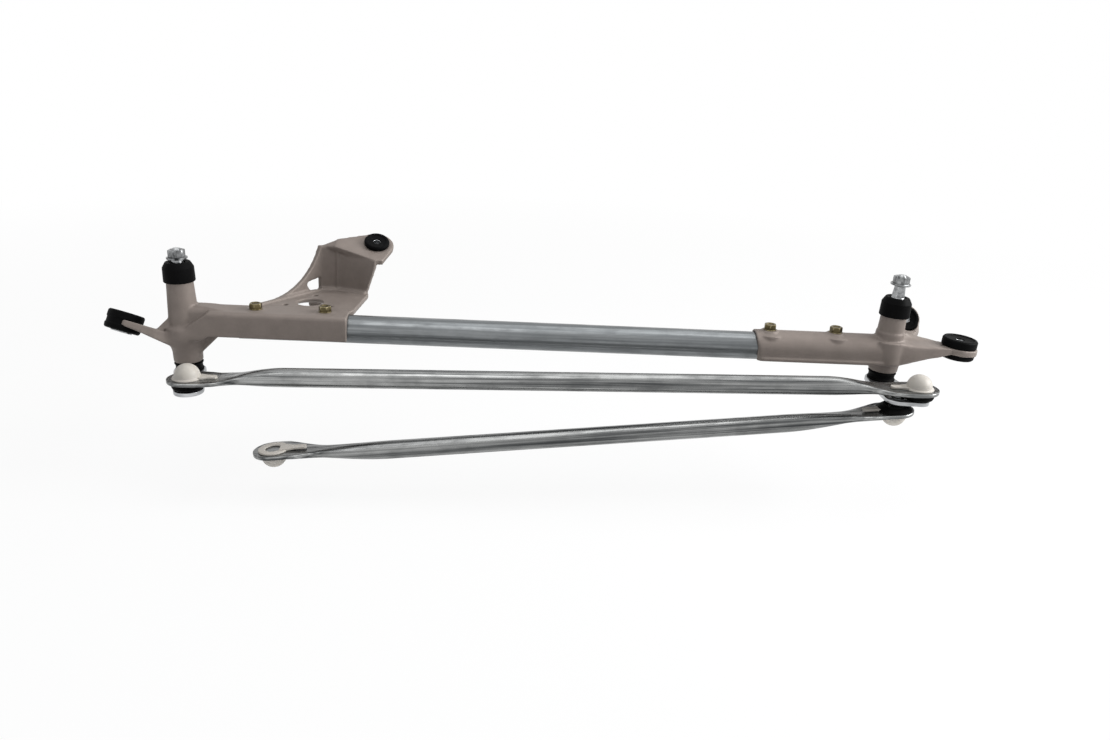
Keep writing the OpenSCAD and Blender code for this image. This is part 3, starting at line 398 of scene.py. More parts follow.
def edge_wear_and_shade():
    """Masks for rubbed outer edges and for painted shade in inner corners."""
    group, given, made = new_group(
        "edge_wear_and_shade", [("Breakup", "NodeSocketFloat", 500.0)],
        [("Rubbed", "NodeSocketFloat"), ("Painted_shade", "NodeSocketFloat")])
    shape = put(group, "ShaderNodeNewGeometry")
    place = put(group, "ShaderNodeTexCoord")
    patch = put(group, "ShaderNodeTexNoise", Detail=4.0)
    wired(group,
          (place.outputs["Object"], patch.inputs["Vector"]),
          (given.outputs["Breakup"], patch.inputs["Scale"]))
    # Rubbed marks convex edges; the second mask darkens concave corners as painted shade.
    for label, low, high in (("Rubbed", 0.52, 0.60), ("Painted_shade", 0.49, 0.40)):
        broken = put(group, "ShaderNodeMath", operation="MULTIPLY")
        wired(group,
              (ranged(group, shape.outputs["Pointiness"], low, high), broken.inputs[0]),
              (ranged(group, patch.outputs["Fac"], 0.30, 0.60), broken.inputs[1]),
              (broken.outputs[0], made.inputs[label]))
    return group


skin = cast_skin()
wear_and_shade = edge_wear_and_shade()


def mottled_finish(name, dark, pale, rough, depth, strength, layers=(), looks=None, fineness=1300.0):
    """A finish with the cast skin's mottling and bump, under layers of mask, share and colour.
    The looks are plain values for the shader's other inputs."""
    finish, tree, shader = new_finish(name)
    grain = put(tree, "ShaderNodeGroup", node_tree=skin, Fineness=fineness)
    colour = mixed(tree, grain.outputs["Mottle"], dark, pale)
    if layers:
        edges = put(tree, "ShaderNodeGroup", node_tree=wear_and_shade)
    for mask, share, tint in layers:
        source = grain if mask in grain.outputs else edges
        colour = mixed(tree, ranged(tree, source.outputs[mask], 0, 1, 0, share), colour, tint)
    wired(tree,
          (colour, shader.inputs["Base Color"]),
          (ranged(tree, grain.outputs["Mottle"], 0, 1, *rough), shader.inputs["Roughness"]))
    for key, value in (looks or {}).items():
        shader.inputs[key].default_value = value
    bumped(tree, shader, grain.outputs["Height"], depth, strength)
    return finish


# The cast alloy's inner corners are darkened by a mask of painted shade; its rubbed edges are lighter wear.
cast_alloy = mottled_finish(
    "cast_alloy", (0.193, 0.163, 0.145), (0.231, 0.197, 0.176),
    rough=(0.52, 0.64), depth=0.00022, strength=0.45,
    layers=[("Pits", 0.35, (0.12, 0.10, 0.09)), ("Painted_shade", 0.55, (0.075, 0.064, 0.056)),
            ("Rubbed", 0.5, (0.37, 0.33, 0.30))],
    looks={"Metallic": 0.25, "Specular IOR Level": 0.3})


def hull(bm, points):
    """The hull of some points in millimetres, added to a bmesh."""
    bmesh.ops.convex_hull(bm, input=[bm.verts.new(Vector(p) * mm) for p in points])


def helper(name, mesh):
    """An object that only helps to make a mesh and is removed afterwards."""
    made = bpy.data.objects.new(name, mesh)
    bpy.context.scene.collection.objects.link(made)
    return made


def smoothed(source, passes, group=""):
    """A helper's mesh after its modifiers and some passes of smoothing. The helper is removed."""
    ease = source.modifiers.new("ease", "SMOOTH")
    ease.factor = 0.5
    ease.iterations = passes
    ease.vertex_group = group
    view = bpy.context.evaluated_depsgraph_get()
    mesh = bpy.data.meshes.new_from_object(source.evaluated_get(view))
    bpy.data.objects.remove(source)
    return mesh


def remade(node, voxel, passes, soft_spots, webs=(), trim=()):
    """A node's solid with its corners rounded: remeshed finely, then smoothed.
    Each web is the hull of some points and is cast on first, and the trim's hull is cut away.
    Each soft spot (x, y, z, radius, passes) gets wider fillets. All are in millimetres."""
    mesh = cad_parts[node].data.copy()
    bm = bmesh.new()
    bm.from_mesh(mesh)
    bmesh.ops.remove_doubles(bm, verts=bm.verts, dist=1e-6)
    for points in webs:
        hull(bm, points)
    bm.to_mesh(mesh)
    rough = helper("rough_" + node, mesh)
    bm.clear()
    if trim:
        hull(bm, trim)
        block = helper("trim_" + node, bpy.data.meshes.new("trim_" + node))
        bm.to_mesh(block.data)
        carve = rough.modifiers.new("carve", "BOOLEAN")
        carve.operation = "DIFFERENCE"
        carve.object = block
    bm.free()
    grid = rough.modifiers.new("grid", "REMESH")
    grid.mode = "VOXEL"
    grid.voxel_size = voxel * mm
    grid.use_smooth_shade = True
    result = smoothed(rough, passes)
    if trim:
        bpy.data.objects.remove(block)
    for x, y, z, radius, rounds in soft_spots:
        blend = helper("soft_" + node, result)
        near = blend.vertex_groups.new(name="near")
        middle = Vector((x, y, z)) * mm
        for v in result.vertices:
            fall = 1 - (v.co - middle).length / (radius * mm)
            if fall > 0:
                near.add([v.index], min(1.0, 2 * fall), "REPLACE")
        result = smoothed(blend, rounds, "near")
    result.shade_smooth()
    return result


def ring_points(pivot, radius, z, count=32):
    """Points round a pivot's axis, in millimetres."""
    ring = []
    for k in range(count):
        a = 2 * math.pi * k / count
        ring.append(pivot @ Vector((radius * math.cos(a) * mm, radius * math.sin(a) * mm, z * mm)) / mm)
    return ring


def foot_rail(start, end, width, low, high):
    """The corners of a low step along a wall's foot, on its right-hand side."""
    run = (Vector(end) - Vector(start)).normalized()
    side = Vector((run.y, -run.x)) * width
    return [(x + s * side.x, y + s * side.y, z)
            for x, y in (start, end) for s in (0, 1) for z in (low, high)]


# The left casting's webs: the boss's taper, the top ear's wedge, the fillet of the slotted ear,
# the ridge at the wall's bend and the step along the wall's foot.
splay = 2.2
pivots = {"left": at(51.5, 0, 0) @ tilt(-splay, "Y"), "right": at(683.5, 0, 0) @ tilt(splay, "Y")}
boss_cone = ring_points(pivots["left"], 16.2, -9) + ring_points(pivots["left"], 12.5, -27)
ear_wedge = [(172.3, 72.4, 57.7), (171.7, 74.5, 53.2), (173.0, 83.4, 62.7), (172.4, 85.5, 58.2),
             (158.5, 76.5, 57), (158.5, 78.5, 57), (158.5, 77.5, 53)]
ear_fillet = [(31, -12, -3.5), (31, 8, -12), (40.5, -6, 6), (40.5, 6, 6),
              (44, -10, -3), (44, 10, -3), (40, 0, -14)]
bend_ridge = [(x, y, z) for x, y in ((171.2, 76.2), (175.0, 75.6), (173.0, 73.9)) for z in (13, 56)]
wall_line = [(114, 13), (158, 75), (173, 76), (201, 66)]
wall_foot = [foot_rail(start, end, 2.4, 12, 16.8) for start, end in zip(wall_line, wall_line[1:])]
left_webs = [boss_cone, ear_wedge, ear_fillet, bend_ridge] + wall_foot
left_soft = [(54, -8, -14, 18, 40), (38, -6, -9, 18, 60), (160, 78, 15, 12, 12), (172, 82, 60, 9, 20)]
left_cast = remade("left_housing", 0.85, 6, left_soft, webs=left_webs)
piece("left_casting", left_cast, cast_alloy, "frame", ["left_housing"])

# The right casting's rear web falls away towards the ear.
rear_web_line = ((703, 14.8), (734, 7.2), (742, 7.0), (742, 20), (703, 20))
rear_web_trim = [(x, y, z) for x, z in rear_web_line for y in (-4, 24)]
right_soft = [(706, 0, 2, 24, 40), (708, 20, 4, 22, 40), (735, 6, 7, 13, 60)]
right_cast = remade("right_housing", 0.8, 6, right_soft, trim=rear_web_trim)
piece("right_casting", right_cast, cast_alloy, "frame", ["right_housing"])

# Tube screws
# Four hex washer-head screws with a dished top, in dark yellow zinc, driven through
# each housing's pads into the tube's upper wall. Each stops at its own angle.
yellow_zinc = mottled_finish(
    "yellow_zinc", (0.045, 0.036, 0.017), (0.13, 0.105, 0.052),
    rough=(0.26, 0.42), depth=0.00008, strength=0.3,
    layers=[("Rubbed", 0.9, (0.50, 0.43, 0.26))], looks={"Metallic": 0.9})


def skinned(bm, rings):
    """Faces between rings of as many points each, with both ends closed."""
    count = len(rings[0])
    for one, two in zip(rings, rings[1:]):
        for k in range(count):
            j = (k + 1) % count
            bm.faces.new((one[k], one[j], two[j], two[k]))
    bm.faces.new(list(reversed(rings[0])))
    bm.faces.new(rings[-1])
    bmesh.ops.recalc_face_normals(bm, faces=bm.faces)
    return bm


def hex_head(flats, height, washer_r, washer_h, dish_r, dish_depth):
    """A hexagon with a bevelled crown on a round washer face, dished on top.
    Each level has a radius, a height and how far it is from round to six-sided."""
    sides, corner_limit = 72, 1.135
    half = flats / 2
    levels = [(washer_r - 0.25, 0, 0), (washer_r, 0.2, 0), (washer_r, washer_h - 0.2, 0),
              (washer_r - 0.3, washer_h, 0), (half, washer_h + 0.15, 1), (half, height - 0.9, 1),
              (half - 0.15, height - 0.25, 0.75), (half - 0.7, height, 0), (dish_r + 0.5, height, 0),
              (dish_r, height - 0.25, 0), (dish_r - 0.4, height - dish_depth, 0)]
    bm = bmesh.new()
    rings = []
    for radius, z, hexed in levels:
        ring = []
        for k in range(sides):
            a = 2 * math.pi * k / sides
            corner = 1 / math.cos((a + math.pi / 6) % (math.pi / 3) - math.pi / 6)
            r = radius * (1 + hexed * (min(corner, corner_limit) - 1))
            ring.append(bm.verts.new((r * math.cos(a) * mm, r * math.sin(a) * mm, z * mm)))
        rings.append(ring)
    return skinned(bm, rings)


def node_tree(name, inputs):
    """An empty Geometry Nodes tree with named inputs."""
    tree = bpy.data.node_groups.new(name, "GeometryNodeTree")
    tree.interface.new_socket("Geometry", in_out="INPUT", socket_type="NodeSocketGeometry")
    for label, kind in inputs:
        tree.interface.new_socket(label, in_out="INPUT", socket_type=kind)
    tree.interface.new_socket("Geometry", in_out="OUTPUT", socket_type="NodeSocketGeometry")
    return tree, tree.nodes.new("NodeGroupInput"), tree.nodes.new("NodeGroupOutput")


def painted(tree, geometry, finish, made):
    """The end of a tree: instances made real, in their finish."""
    real = put(tree, "GeometryNodeRealizeInstances")
    paint_on = put(tree, "GeometryNodeSetMaterial")
    wired(tree,
          (geometry, real.inputs["Geometry"]),
          (real.outputs["Geometry"], paint_on.inputs["Geometry"]),
          (finish, paint_on.inputs["Material"]),
          (paint_on.outputs["Geometry"], made.inputs["Geometry"]))


def grown(tree, points, values):
    """The plain mesh that a tree makes from some points and its input values."""
    seeds = bpy.data.meshes.new("seeds")
    seeds.from_pydata([Vector(p) * mm for p in points], [], [])
    holder = helper("holder", seeds)
    growth = holder.modifiers.new("growth", "NODES")
    growth.node_group = tree
    for item in tree.interface.items_tree:
        if item.in_out == "INPUT" and item.name in values:
            growth[item.identifier] = values[item.name]
    view = bpy.context.evaluated_depsgraph_get()
    mesh = bpy.data.meshes.new_from_object(holder.evaluated_get(view))
    holder.modifiers.remove(growth)
    bpy.data.objects.remove(holder)
    return mesh


screw_tree, given, made = node_tree("placed_screws", [
    ("Head", "NodeSocketObject"), ("Turn between heads", "NodeSocketFloat"),
    ("Finish", "NodeSocketMaterial")])
head = put(screw_tree, "GeometryNodeObjectInfo")
count = put(screw_tree, "GeometryNodeInputIndex")
turn = put(screw_tree, "ShaderNodeMath", operation="MULTIPLY")
angles = put(screw_tree, "ShaderNodeCombineXYZ")
on_pads = put(screw_tree, "GeometryNodeInstanceOnPoints")
wired(screw_tree,
      (given.outputs["Head"], head.inputs["Object"]),
      (count.outputs["Index"], turn.inputs[0]),
      (given.outputs["Turn between heads"], turn.inputs[1]),
      (turn.outputs[0], angles.inputs["Z"]),
      (given.outputs["Geometry"], on_pads.inputs["Points"]),
      (head.outputs["Geometry"], on_pads.inputs["Instance"]),
      (angles.outputs[0], on_pads.inputs["Rotation"]))
painted(screw_tree, on_pads.outputs["Instances"], given.outputs["Finish"], made)

head_mesh = bpy.data.meshes.new("screw_head")
head_shape = hex_head(flats=10, height=5.5, washer_r=5.85, washer_h=0.85, dish_r=3.3, dish_depth=0.9)
sharpened(head_shape, 34)
head_shape.to_mesh(head_mesh)
head_shape.free()
head_object = bpy.data.objects.new("screw_head", head_mesh)
screw_places = [(114.5, 0, 15.0), (175.0, 0, 15.0), (573.5, 0, 15.5), (634.0, 0, 15.5)]
screws = grown(screw_tree, screw_places,
               {"Head": head_object, "Turn between heads": 0.43, "Finish": yellow_zinc})
bpy.data.objects.remove(head_object)
piece("tube_screws", screws, yellow_zinc, "frame", ["left_tube_screws", "right_tube_screws"])

# Bearing bushes
# Two sintered bronze bushes pressed into each tower, one flush with its top and one with its foot.
# They are brown-gold and dull, and the shaft runs in them with a small clearance.
sintered_bronze = mottled_finish(
    "sintered_bronze", (0.36, 0.23, 0.10), (0.48, 0.33, 0.16),
    rough=(0.38, 0.5), depth=0.0001, strength=0.3,
    looks={"Metallic": 0.9})
tower_top = {"left": 42.0, "right": 38.0}
crank_top = {"left": -43.9, "right": -26.9}
crank_to_boss = 8.4
shaft_r, shaft_play = 6.0, 0.05
bush_r, bush_l = 8.0, 16.0
for side, pivot in pivots.items():
    for end, z in (("upper", tower_top[side] - bush_l), ("lower", crank_top[side] + crank_to_boss)):
        bush = turned([(shaft_r + shaft_play, z, 0.4), (bush_r, z, 0.4),
                       (bush_r, z + bush_l, 0.4), (shaft_r + shaft_play, z + bush_l, 0.4)], 64)
        piece(f"{side}_{end}_bearing", bush, sintered_bronze, "frame",
              [f"{side}_{end}_bush"], pivot)

# Rubber caps
# Black moulded rubber caps pulled over the towers to keep water out of the bushes.
# Each has a bevelled shoulder and a lip round the shaft.
black_rubber = mottled_finish(
    "black_rubber", (0.0016, 0.0016, 0.0017), (0.0035, 0.0035, 0.0037),
    rough=(0.50, 0.66), depth=0.00012, strength=0.3,
    layers=[("Rubbed", 0.6, (0.016, 0.016, 0.017))],
    looks={"Specular IOR Level": 0.04}, fineness=1800.0)
fit = 0.03
tower_r, cap_grip = 11.4, 4.5
for side, pivot in pivots.items():
    z = tower_top[side] - cap_grip
    cap = turned([(tower_r + fit, z, 0.3), (13.0, z, 0.3), (13.45, z + 0.6, 0.4), (13.2, z + 12.6, 1.4),
                  (10.8, z + 16.8, 1.0), (10.2, z + 17.4, 0.4), (8.2, z + 17.4, 0.4), (7.6, z + 16.9, 0.2),
                  (6.6, z + 16.9, 0.2), (6.6, z + 15.8, 0.2), (8.9, z + 12.8, 0.5),
                  (8.9, z + cap_grip + fit, 0.2), (tower_r + fit, z + cap_grip + fit, 0.2)])
    piece(f"{side}_rubber_cap", cap, black_rubber, "frame", [f"{side}_cap"], pivot)

# Mount grommets and sleeves
# Black rubber spools clipped into the ears, with ringed faces and rounded lips. Each holds a bright
# pressed sleeve that takes the body screw and ends in a flat flange below. The rubber closes over
# the sleeve's upper rim.
bright_zinc, tree, shader = new_finish("bright_zinc")
bright_grain = put(tree, "ShaderNodeGroup", node_tree=streaks, Fineness=260.0)
bright_edges = put(tree, "ShaderNodeGroup", node_tree=wear_and_shade)
silver = mixed(tree, bright_grain.outputs["Streak"], (0.20, 0.205, 0.21), (0.44, 0.45, 0.455))
# The bright zinc is darkened in its inner corners by painted shade.
silver = mixed(tree, ranged(tree, bright_edges.outputs["Painted_shade"], 0, 1, 0, 0.6), silver, (0.06, 0.06, 0.065))
wired(tree,
      (silver, shader.inputs["Base Color"]),
      (ranged(tree, bright_grain.outputs["Blotch"], 0, 1, 0.16, 0.32), shader.inputs["Roughness"]))
shader.inputs["Metallic"].default_value = 0.95
bumped(tree, shader, bright_grain.outputs["Height"], 0.00006, 0.25)
sleeve_r, sleeve_bore_r, sleeve_sunk = 4.8, 3.3, 2.2
sleeve_flange_r, sleeve_flange_t = 9.0, 1.2
lip_r = 3.4


def grommet(outer, groove, height, groove_h, lift):
    """A spool with a groove for the ear's rim, a ring in each face and a lip over the sleeve."""
    low, high = lift - height / 2, lift + height / 2
    edge = groove_h / 2
    seat = edge + fit
    sleeve_end = high - sleeve_sunk
    below = [(sleeve_r + fit, low, 0.3), (6.6, low, 0.3), (7.1, low + 0.5, 0.2), (8.2, low + 0.5, 0.2),
             (8.7, low, 0.3), (outer - 1.5, low, 0.7), (outer - 0.4, low + 1.2, 0.6),
             (outer, -edge - 0.9, 0.5)]
    waist = [(outer - 0.6, -seat, 0.2), (groove, -seat, 0.2), (groove, seat, 0.2), (outer - 0.6, seat, 0.2)]
    above = [(outer, edge + 0.9, 0.5), (outer, high - 1.4, 0.9), (outer - 1.0, high, 0.8),
             (outer - 3.0, high, 0.5), (outer - 3.6, high - 0.8, 0.3), (sleeve_r + 1.2, high - 1.1, 0.4)]
    lip = [(lip_r + 0.5, high - 1.3, 0.3), (lip_r, sleeve_end + 0.05, 0.2),
           (sleeve_r + fit, sleeve_end + fit, 0)]
    return turned(below + waist + above + lip)


def sleeve(height, lift):
    low, high = lift - height / 2, lift + height / 2 - sleeve_sunk
    foot = low - sleeve_flange_t
    return turned([(sleeve_bore_r, foot, 0.3), (sleeve_flange_r, foot, 0.3),
                   (sleeve_flange_r, low - fit, 0.3), (sleeve_r, low - fit, 0.4),
                   (sleeve_r, high, 0.3), (sleeve_bore_r, high, 0.4)], 64)


left_mount = tilt(15, "Y") @ tilt(-24, "X") @ at(0, 0, -3)
right_mount = at(749.5, 0, 4.3) @ tilt(4, "Y")
rear_mount = at(712, 40, 19) @ tilt(65, "X")
bracket_mount = at(208.5, 87, 56.6) @ tilt(8, "Y") @ tilt(24.8, "X")
for side, mount, outer, groove, height, groove_h, lift in (
        ("left", left_mount, 15.5, 14.8, 16.8, 4.4, 1.0),
        ("right", right_mount, 15.5, 10, 18.4, 5.6, 1.3),
        ("rear", rear_mount, 11.8, 8, 14, 5.6, 0),
        ("bracket", bracket_mount, 11.8, 8, 14, 5, 0)):
    spool = grommet(outer, groove, height, groove_h, lift)
    piece(f"{side}_rubber_spool", spool, black_rubber, "frame", [f"{side}_grommet"], mount)
    piece(f"{side}_spool_sleeve", sleeve(height, lift), bright_zinc, "frame",
          [f"{side}_sleeve"], mount)

# Pivot shafts
# Ground steel shafts: a bearing length with a clip groove, a taper with fine teeth for the
# wiper arm's hub, and a threaded end for its nut. Washer and spring clip sit over the tower.


def raised(tree, geometry, height):
    """Geometry in a tree, moved up by a height."""
    lift = put(tree, "ShaderNodeCombineXYZ")
    rise = put(tree, "GeometryNodeTransform")
    wired(tree,
          (height, lift.inputs["Z"]),
          (lift.outputs[0], rise.inputs["Translation"]),
          (geometry, rise.inputs["Geometry"]))
    return rise.outputs["Geometry"]


tooth_tree, given, made = node_tree("taper_teeth", [
    ("Teeth", "NodeSocketInt"), ("Bottom radius", "NodeSocketFloat"), ("Bottom height", "NodeSocketFloat"),
    ("Length", "NodeSocketFloat"), ("Lean", "NodeSocketFloat"), ("Tooth width", "NodeSocketFloat"),
    ("Finish", "NodeSocketMaterial")])
circle = put(tooth_tree, "GeometryNodeMeshCircle", fill_type="NONE")
bar = put(tooth_tree, "GeometryNodeMeshCone", fill_type="NGON", Vertices=4)
index = put(tooth_tree, "GeometryNodeInputIndex")
step = put(tooth_tree, "ShaderNodeMath", operation="DIVIDE")
step.inputs[0].default_value = 2 * math.pi
angle = put(tooth_tree, "ShaderNodeMath", operation="MULTIPLY")
stance = put(tooth_tree, "ShaderNodeCombineXYZ")
on_ring = put(tooth_tree, "GeometryNodeInstanceOnPoints")
wired(tooth_tree,
      (given.outputs["Teeth"], circle.inputs["Vertices"]),
      (given.outputs["Bottom radius"], circle.inputs["Radius"]),
      (given.outputs["Tooth width"], bar.inputs["Radius Bottom"]),
      (given.outputs["Tooth width"], bar.inputs["Radius Top"]),
      (given.outputs["Length"], bar.inputs["Depth"]),
      (given.outputs["Teeth"], step.inputs[1]),
      (index.outputs["Index"], angle.inputs[0]),
      (step.outputs[0], angle.inputs[1]),
      (given.outputs["Lean"], stance.inputs["Y"]),
      (angle.outputs[0], stance.inputs["Z"]),
      (circle.outputs["Mesh"], on_ring.inputs["Points"]),
      (bar.outputs["Mesh"], on_ring.inputs["Instance"]),
      (stance.outputs[0], on_ring.inputs["Rotation"]))
lifted = raised(tooth_tree, on_ring.outputs["Instances"], given.outputs["Bottom height"])
painted(tooth_tree, lifted, given.outputs["Finish"], made)

thread_tree, given, made = node_tree("shaft_thread", [
    ("Turns", "NodeSocketFloat"), ("Radius", "NodeSocketFloat"), ("Height", "NodeSocketFloat"),
    ("Bottom", "NodeSocketFloat"), ("Ridge", "NodeSocketFloat"), ("Finish", "NodeSocketMaterial")])
helix = put(thread_tree, "GeometryNodeCurveSpiral", Resolution=32)
ridge = put(thread_tree, "GeometryNodeCurvePrimitiveCircle", mode="RADIUS", Resolution=4)
sweep = put(thread_tree, "GeometryNodeCurveToMesh")
sweep.inputs["Fill Caps"].default_value = True
wired(thread_tree,
      (given.outputs["Turns"], helix.inputs["Rotations"]),
      (given.outputs["Radius"], helix.inputs["Start Radius"]),
      (given.outputs["Radius"], helix.inputs["End Radius"]),
      (given.outputs["Height"], helix.inputs["Height"]),
      (given.outputs["Ridge"], ridge.inputs["Radius"]),
      (helix.outputs["Curve"], sweep.inputs["Curve"]),
      (ridge.outputs["Curve"], sweep.inputs["Profile Curve"]))
lifted = raised(thread_tree, sweep.outputs["Mesh"], given.outputs["Bottom"])
painted(thread_tree, lifted, given.outputs["Finish"], made)

nut_seat = {"left": 57.5, "right": 62.1}
foot_r, groove_r, thread_r = 5.0, 5.4, 3.6
foot_l, taper_l, thread_l = 4.5, 11.0, 9.2
washer_r, washer_t, washer_lift = 8.8, 1.2, 0.4
clip_t = 1.2
for side, pivot in pivots.items():
    body = f"{side}_rocker"
    shoulder, seat = crank_top[side], nut_seat[side]
    foot, taper, tip = shoulder - foot_l, seat - taper_l, seat + thread_l
    washer_z = tower_top[side] + washer_lift
    clip = washer_z + washer_t
    thread_foot = seat - 0.8
    bearing = [(0, foot, 0), (foot_r, foot, 0.6), (foot_r, shoulder, 0), (shaft_r, shoulder, 0.2)]
    clip_groove = [(shaft_r, clip, 0), (groove_r, clip, 0),
                   (groove_r, clip + clip_t, 0), (shaft_r, clip + clip_t, 0)]
    hub_taper = [(5.9, taper - 0.6, 0.4), (5.55, taper, 0.2), (4.55, seat - 1, 0.2)]
    nut_end = [(thread_r, thread_foot, 0.1), (thread_r, tip - 0.8, 0.3), (2.8, tip, 0.2), (0, tip, 0)]
    rod = turned(bearing + clip_groove + hub_taper + nut_end, 64)
    piece(f"{side}_ground_shaft", rod, bright_zinc, body, [f"{side}_shaft"], pivot, 30)
    teeth = grown(tooth_tree, [], {
        "Teeth": 36, "Bottom radius": 5.08 * mm, "Bottom height": taper * mm, "Length": 10 * mm,
        "Lean": -0.0997, "Tooth width": 0.62 * mm, "Finish": bright_zinc})
    piece(f"{side}_taper_teeth", teeth, bright_zinc, body, [], pivot)
    thread = grown(thread_tree, [], {
        "Turns": 8.0, "Radius": 3.5 * mm, "Height": 9.4 * mm, "Bottom": thread_foot * mm,
        "Ridge": 0.5 * mm, "Finish": bright_zinc})
    piece(f"{side}_thread", thread, bright_zinc, body, [], pivot)
    washer = turned([(shaft_r + fit, washer_z, 0.15), (washer_r, washer_z, 0.2),
                     (washer_r, washer_z + washer_t, 0.2), (shaft_r + fit, washer_z + washer_t, 0.15)], 64)
    piece(f"{side}_plain_washer", washer, bright_zinc, body, [f"{side}_thrust_washer"], pivot)

# Wiper arm nuts
# Flanged hex nuts in zinc with dark patches, run down on the thread.
# They wait there until the wiper arms go on.
nut_zinc = plated_steel("nut_zinc", (0.02, 0.021, 0.022), (0.42, 0.43, 0.435), (1, 1, 0.5), 190.0, 0.20)
for side, pivot in pivots.items():
    nut = hex_head(flats=13, height=8.0, washer_r=8.9, washer_h=1.5, dish_r=4.4, dish_depth=0.7)
    piece(f"{side}_flange_nut", nut, nut_zinc, f"{side}_rocker", [f"{side}_nut"],
          pivot @ at(0, 0, nut_seat[side]), 34)

# Pivot seals
# Black rubber rings squeezed between each lower boss and its crank.
# Each is moulded with a waist and two lips, and turns with the crank.
seal_r, seal_lip_r, seal_waist_r, seal_h = 12.2, 12.6, 11.6, 8.0
for side, pivot in pivots.items():
    z = crank_top[side]
    top = z + seal_h
    seal = turned([(shaft_r + fit, z, 0.2), (seal_r, z, 0.4), (seal_lip_r, z + 1, 0.5),
                   (seal_waist_r, z + 2.6, 0.6), (seal_waist_r, top - 2.6, 0.6),
                   (seal_lip_r, top - 1, 0.5), (seal_r, top, 0.4), (shaft_r + fit, top, 0.2)])
    piece(f"{side}_pivot_ring", seal, black_rubber, f"{side}_rocker",
          [f"{side}_pivot_seal"], pivot)

# Cranks
# Flat steel plates, blanked, zinc plated and staked on the feet of the shafts.
# Their sharp rims are broken by a small bevel.
plate_steel = plated_steel("plated_crank", (0.30, 0.31, 0.32), (0.56, 0.57, 0.58),
                           (0.25, 0.25, 1), 240.0, 0.28)


def eased_plate(node, width):
    """A plate's solid with its sharp edges broken by a small bevel."""
    bm = bmesh.new()
    bm.from_mesh(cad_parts[node].data)
    bmesh.ops.remove_doubles(bm, verts=bm.verts, dist=1e-6)
    bmesh.ops.dissolve_limit(bm, angle_limit=math.radians(1), verts=bm.verts, edges=bm.edges)
    rims = [e for e in bm.edges if len(e.link_faces) == 2 and e.calc_face_angle(0) > math.radians(50)]
    bmesh.ops.bevel(bm, geom=rims, offset=width * mm, segments=2, profile=0.5, affect="EDGES")
    return bm


for side in pivots:
    plate = eased_plate(f"{side}_crank", 0.45)
    piece(f"{side}_crank_plate", plate, plate_steel, f"{side}_rocker",
          [f"{side}_crank"], angle=30)

# Ball studs
# Turned steel balls on short necks, riveted through the cranks with a domed head.
# Two stand up for the long link, and one hangs under the right crank for the drive link.
crank_r, drive_crank_r, crank_t = 52.0, 50.5, 3.5
crank_rest, drive_behind = 16.4, 20.0
ball_r, ball_rise = 8.0, 11.5


def round_part(radius, start, end, step, rise=0.0):
    """Points on a circle about the axis, over a range of degrees."""
    angles = [math.radians(d) for d in range(start, end, step)]
    return [(radius * math.cos(a), rise + radius * math.sin(a), 0) for a in angles]


left_arm = pivots["left"] @ tilt(crank_rest, "Z")
right_arm = pivots["right"] @ tilt(crank_rest, "Z")
drive_arm = pivots["right"] @ tilt(crank_rest - drive_behind, "Z")
stud_places = {
    "left": left_arm @ at(0, -crank_r, crank_top["left"]),
    "right": right_arm @ at(0, -crank_r, crank_top["right"]),
    "drive": drive_arm @ at(0, -drive_crank_r, crank_top["right"] - crank_t) @ tilt(180, "X")}
for side, place in stud_places.items():
    rivet = [(0, -4.8, 0), (4.6, -4.8, 0.5), (5.8, -3.9, 0.3),
             (5.4, -crank_t, 0), (4.0, -crank_t, 0), (4.0, 0, 0)]
    collar = [(5.4, 0, 0.2), (5.4, 1.6, 0.4), (4.2, 1.6, 0.3)]
    ball = round_part(ball_r, -58, 90, 8, ball_rise) + [(0, ball_rise + ball_r, 0)]
    body = "left_rocker" if side == "left" else "right_rocker"
    piece(f"{side}_ball", turned(rivet + collar + ball, 64), bright_zinc, body,
          [f"{side}_ball_stud"], place)

# Links
# Steel tubes pressed flat at both ends to carry the ball sockets, zinc plated. The press leaves a
# scoop where the flat begins and thicker folded rims along the flat.
plate_t, plate_drop, end_r = 2.6, 3.0, 17.0
neck_start = 6
rim_h, rim_run, rim_at, rim_half = 0.35, 6, 0.9, 0.09


def smooth_step(t):
    t = min(max(t, 0.0), 1.0)
    return t * t * (3 - 2 * t)


def pressed_link(length, link_r, neck_end, press_start, roll_end, rise, scoop_above, scoop_below, sides=56):
    """A tube whose ends are pressed flat over a long run. The flat lies off the tube's axis by the
    rise, and each face can be scooped where the flat begins."""
    bm = bmesh.new()

    def section(x, along):
        part_way = min(max((along - press_start) / (roll_end - press_start), 0.0), 1.0)
        opened = 1 - (1 - part_way) ** 2
        if along < 0:
            half_w = math.sqrt(max(end_r ** 2 - along ** 2, 0.3))
        else:
            half_w = end_r + (link_r - end_r) * smooth_step((along - neck_start) / (neck_end - neck_start))
        rim = rim_h * (1 - opened) * smooth_step((along + end_r) / rim_run)
        ring = []
        for k in range(sides):
            a = 2 * math.pi * k / sides
            up_share = abs(math.sin(a))
            half_h = plate_t / 2 * (1 - opened) * min(1, 5 * up_share) + link_r * opened * up_share
            half_h += rim * max(0, 1 - ((abs(math.cos(a)) - rim_at) / rim_half) ** 2)
            dip = 4 * opened * (1 - opened) * up_share ** 3
            z = half_h - dip * scoop_above if math.sin(a) >= 0 else dip * scoop_below - half_h
            z += rise * opened - plate_drop
            ring.append(bm.verts.new((x * mm, half_w * math.cos(a) * mm, z * mm)))
        return ring

    tip = [-end_r * math.cos(math.radians(3 + 87 * i / 14)) for i in range(15)]
    flat = [press_start * i / 5 for i in range(1, 5)]
    press = [press_start + (roll_end - press_start) * i / 40 for i in range(41)]
    end = tip + flat + press
    run = 24
    middle = [(roll_end + (length - 2 * roll_end) * i / run, roll_end) for i in range(1, run)]
    stations = [(x, x) for x in end] + middle + [(length - x, x) for x in reversed(end)]
    return skinned(bm, [section(x, along) for x, along in stations])


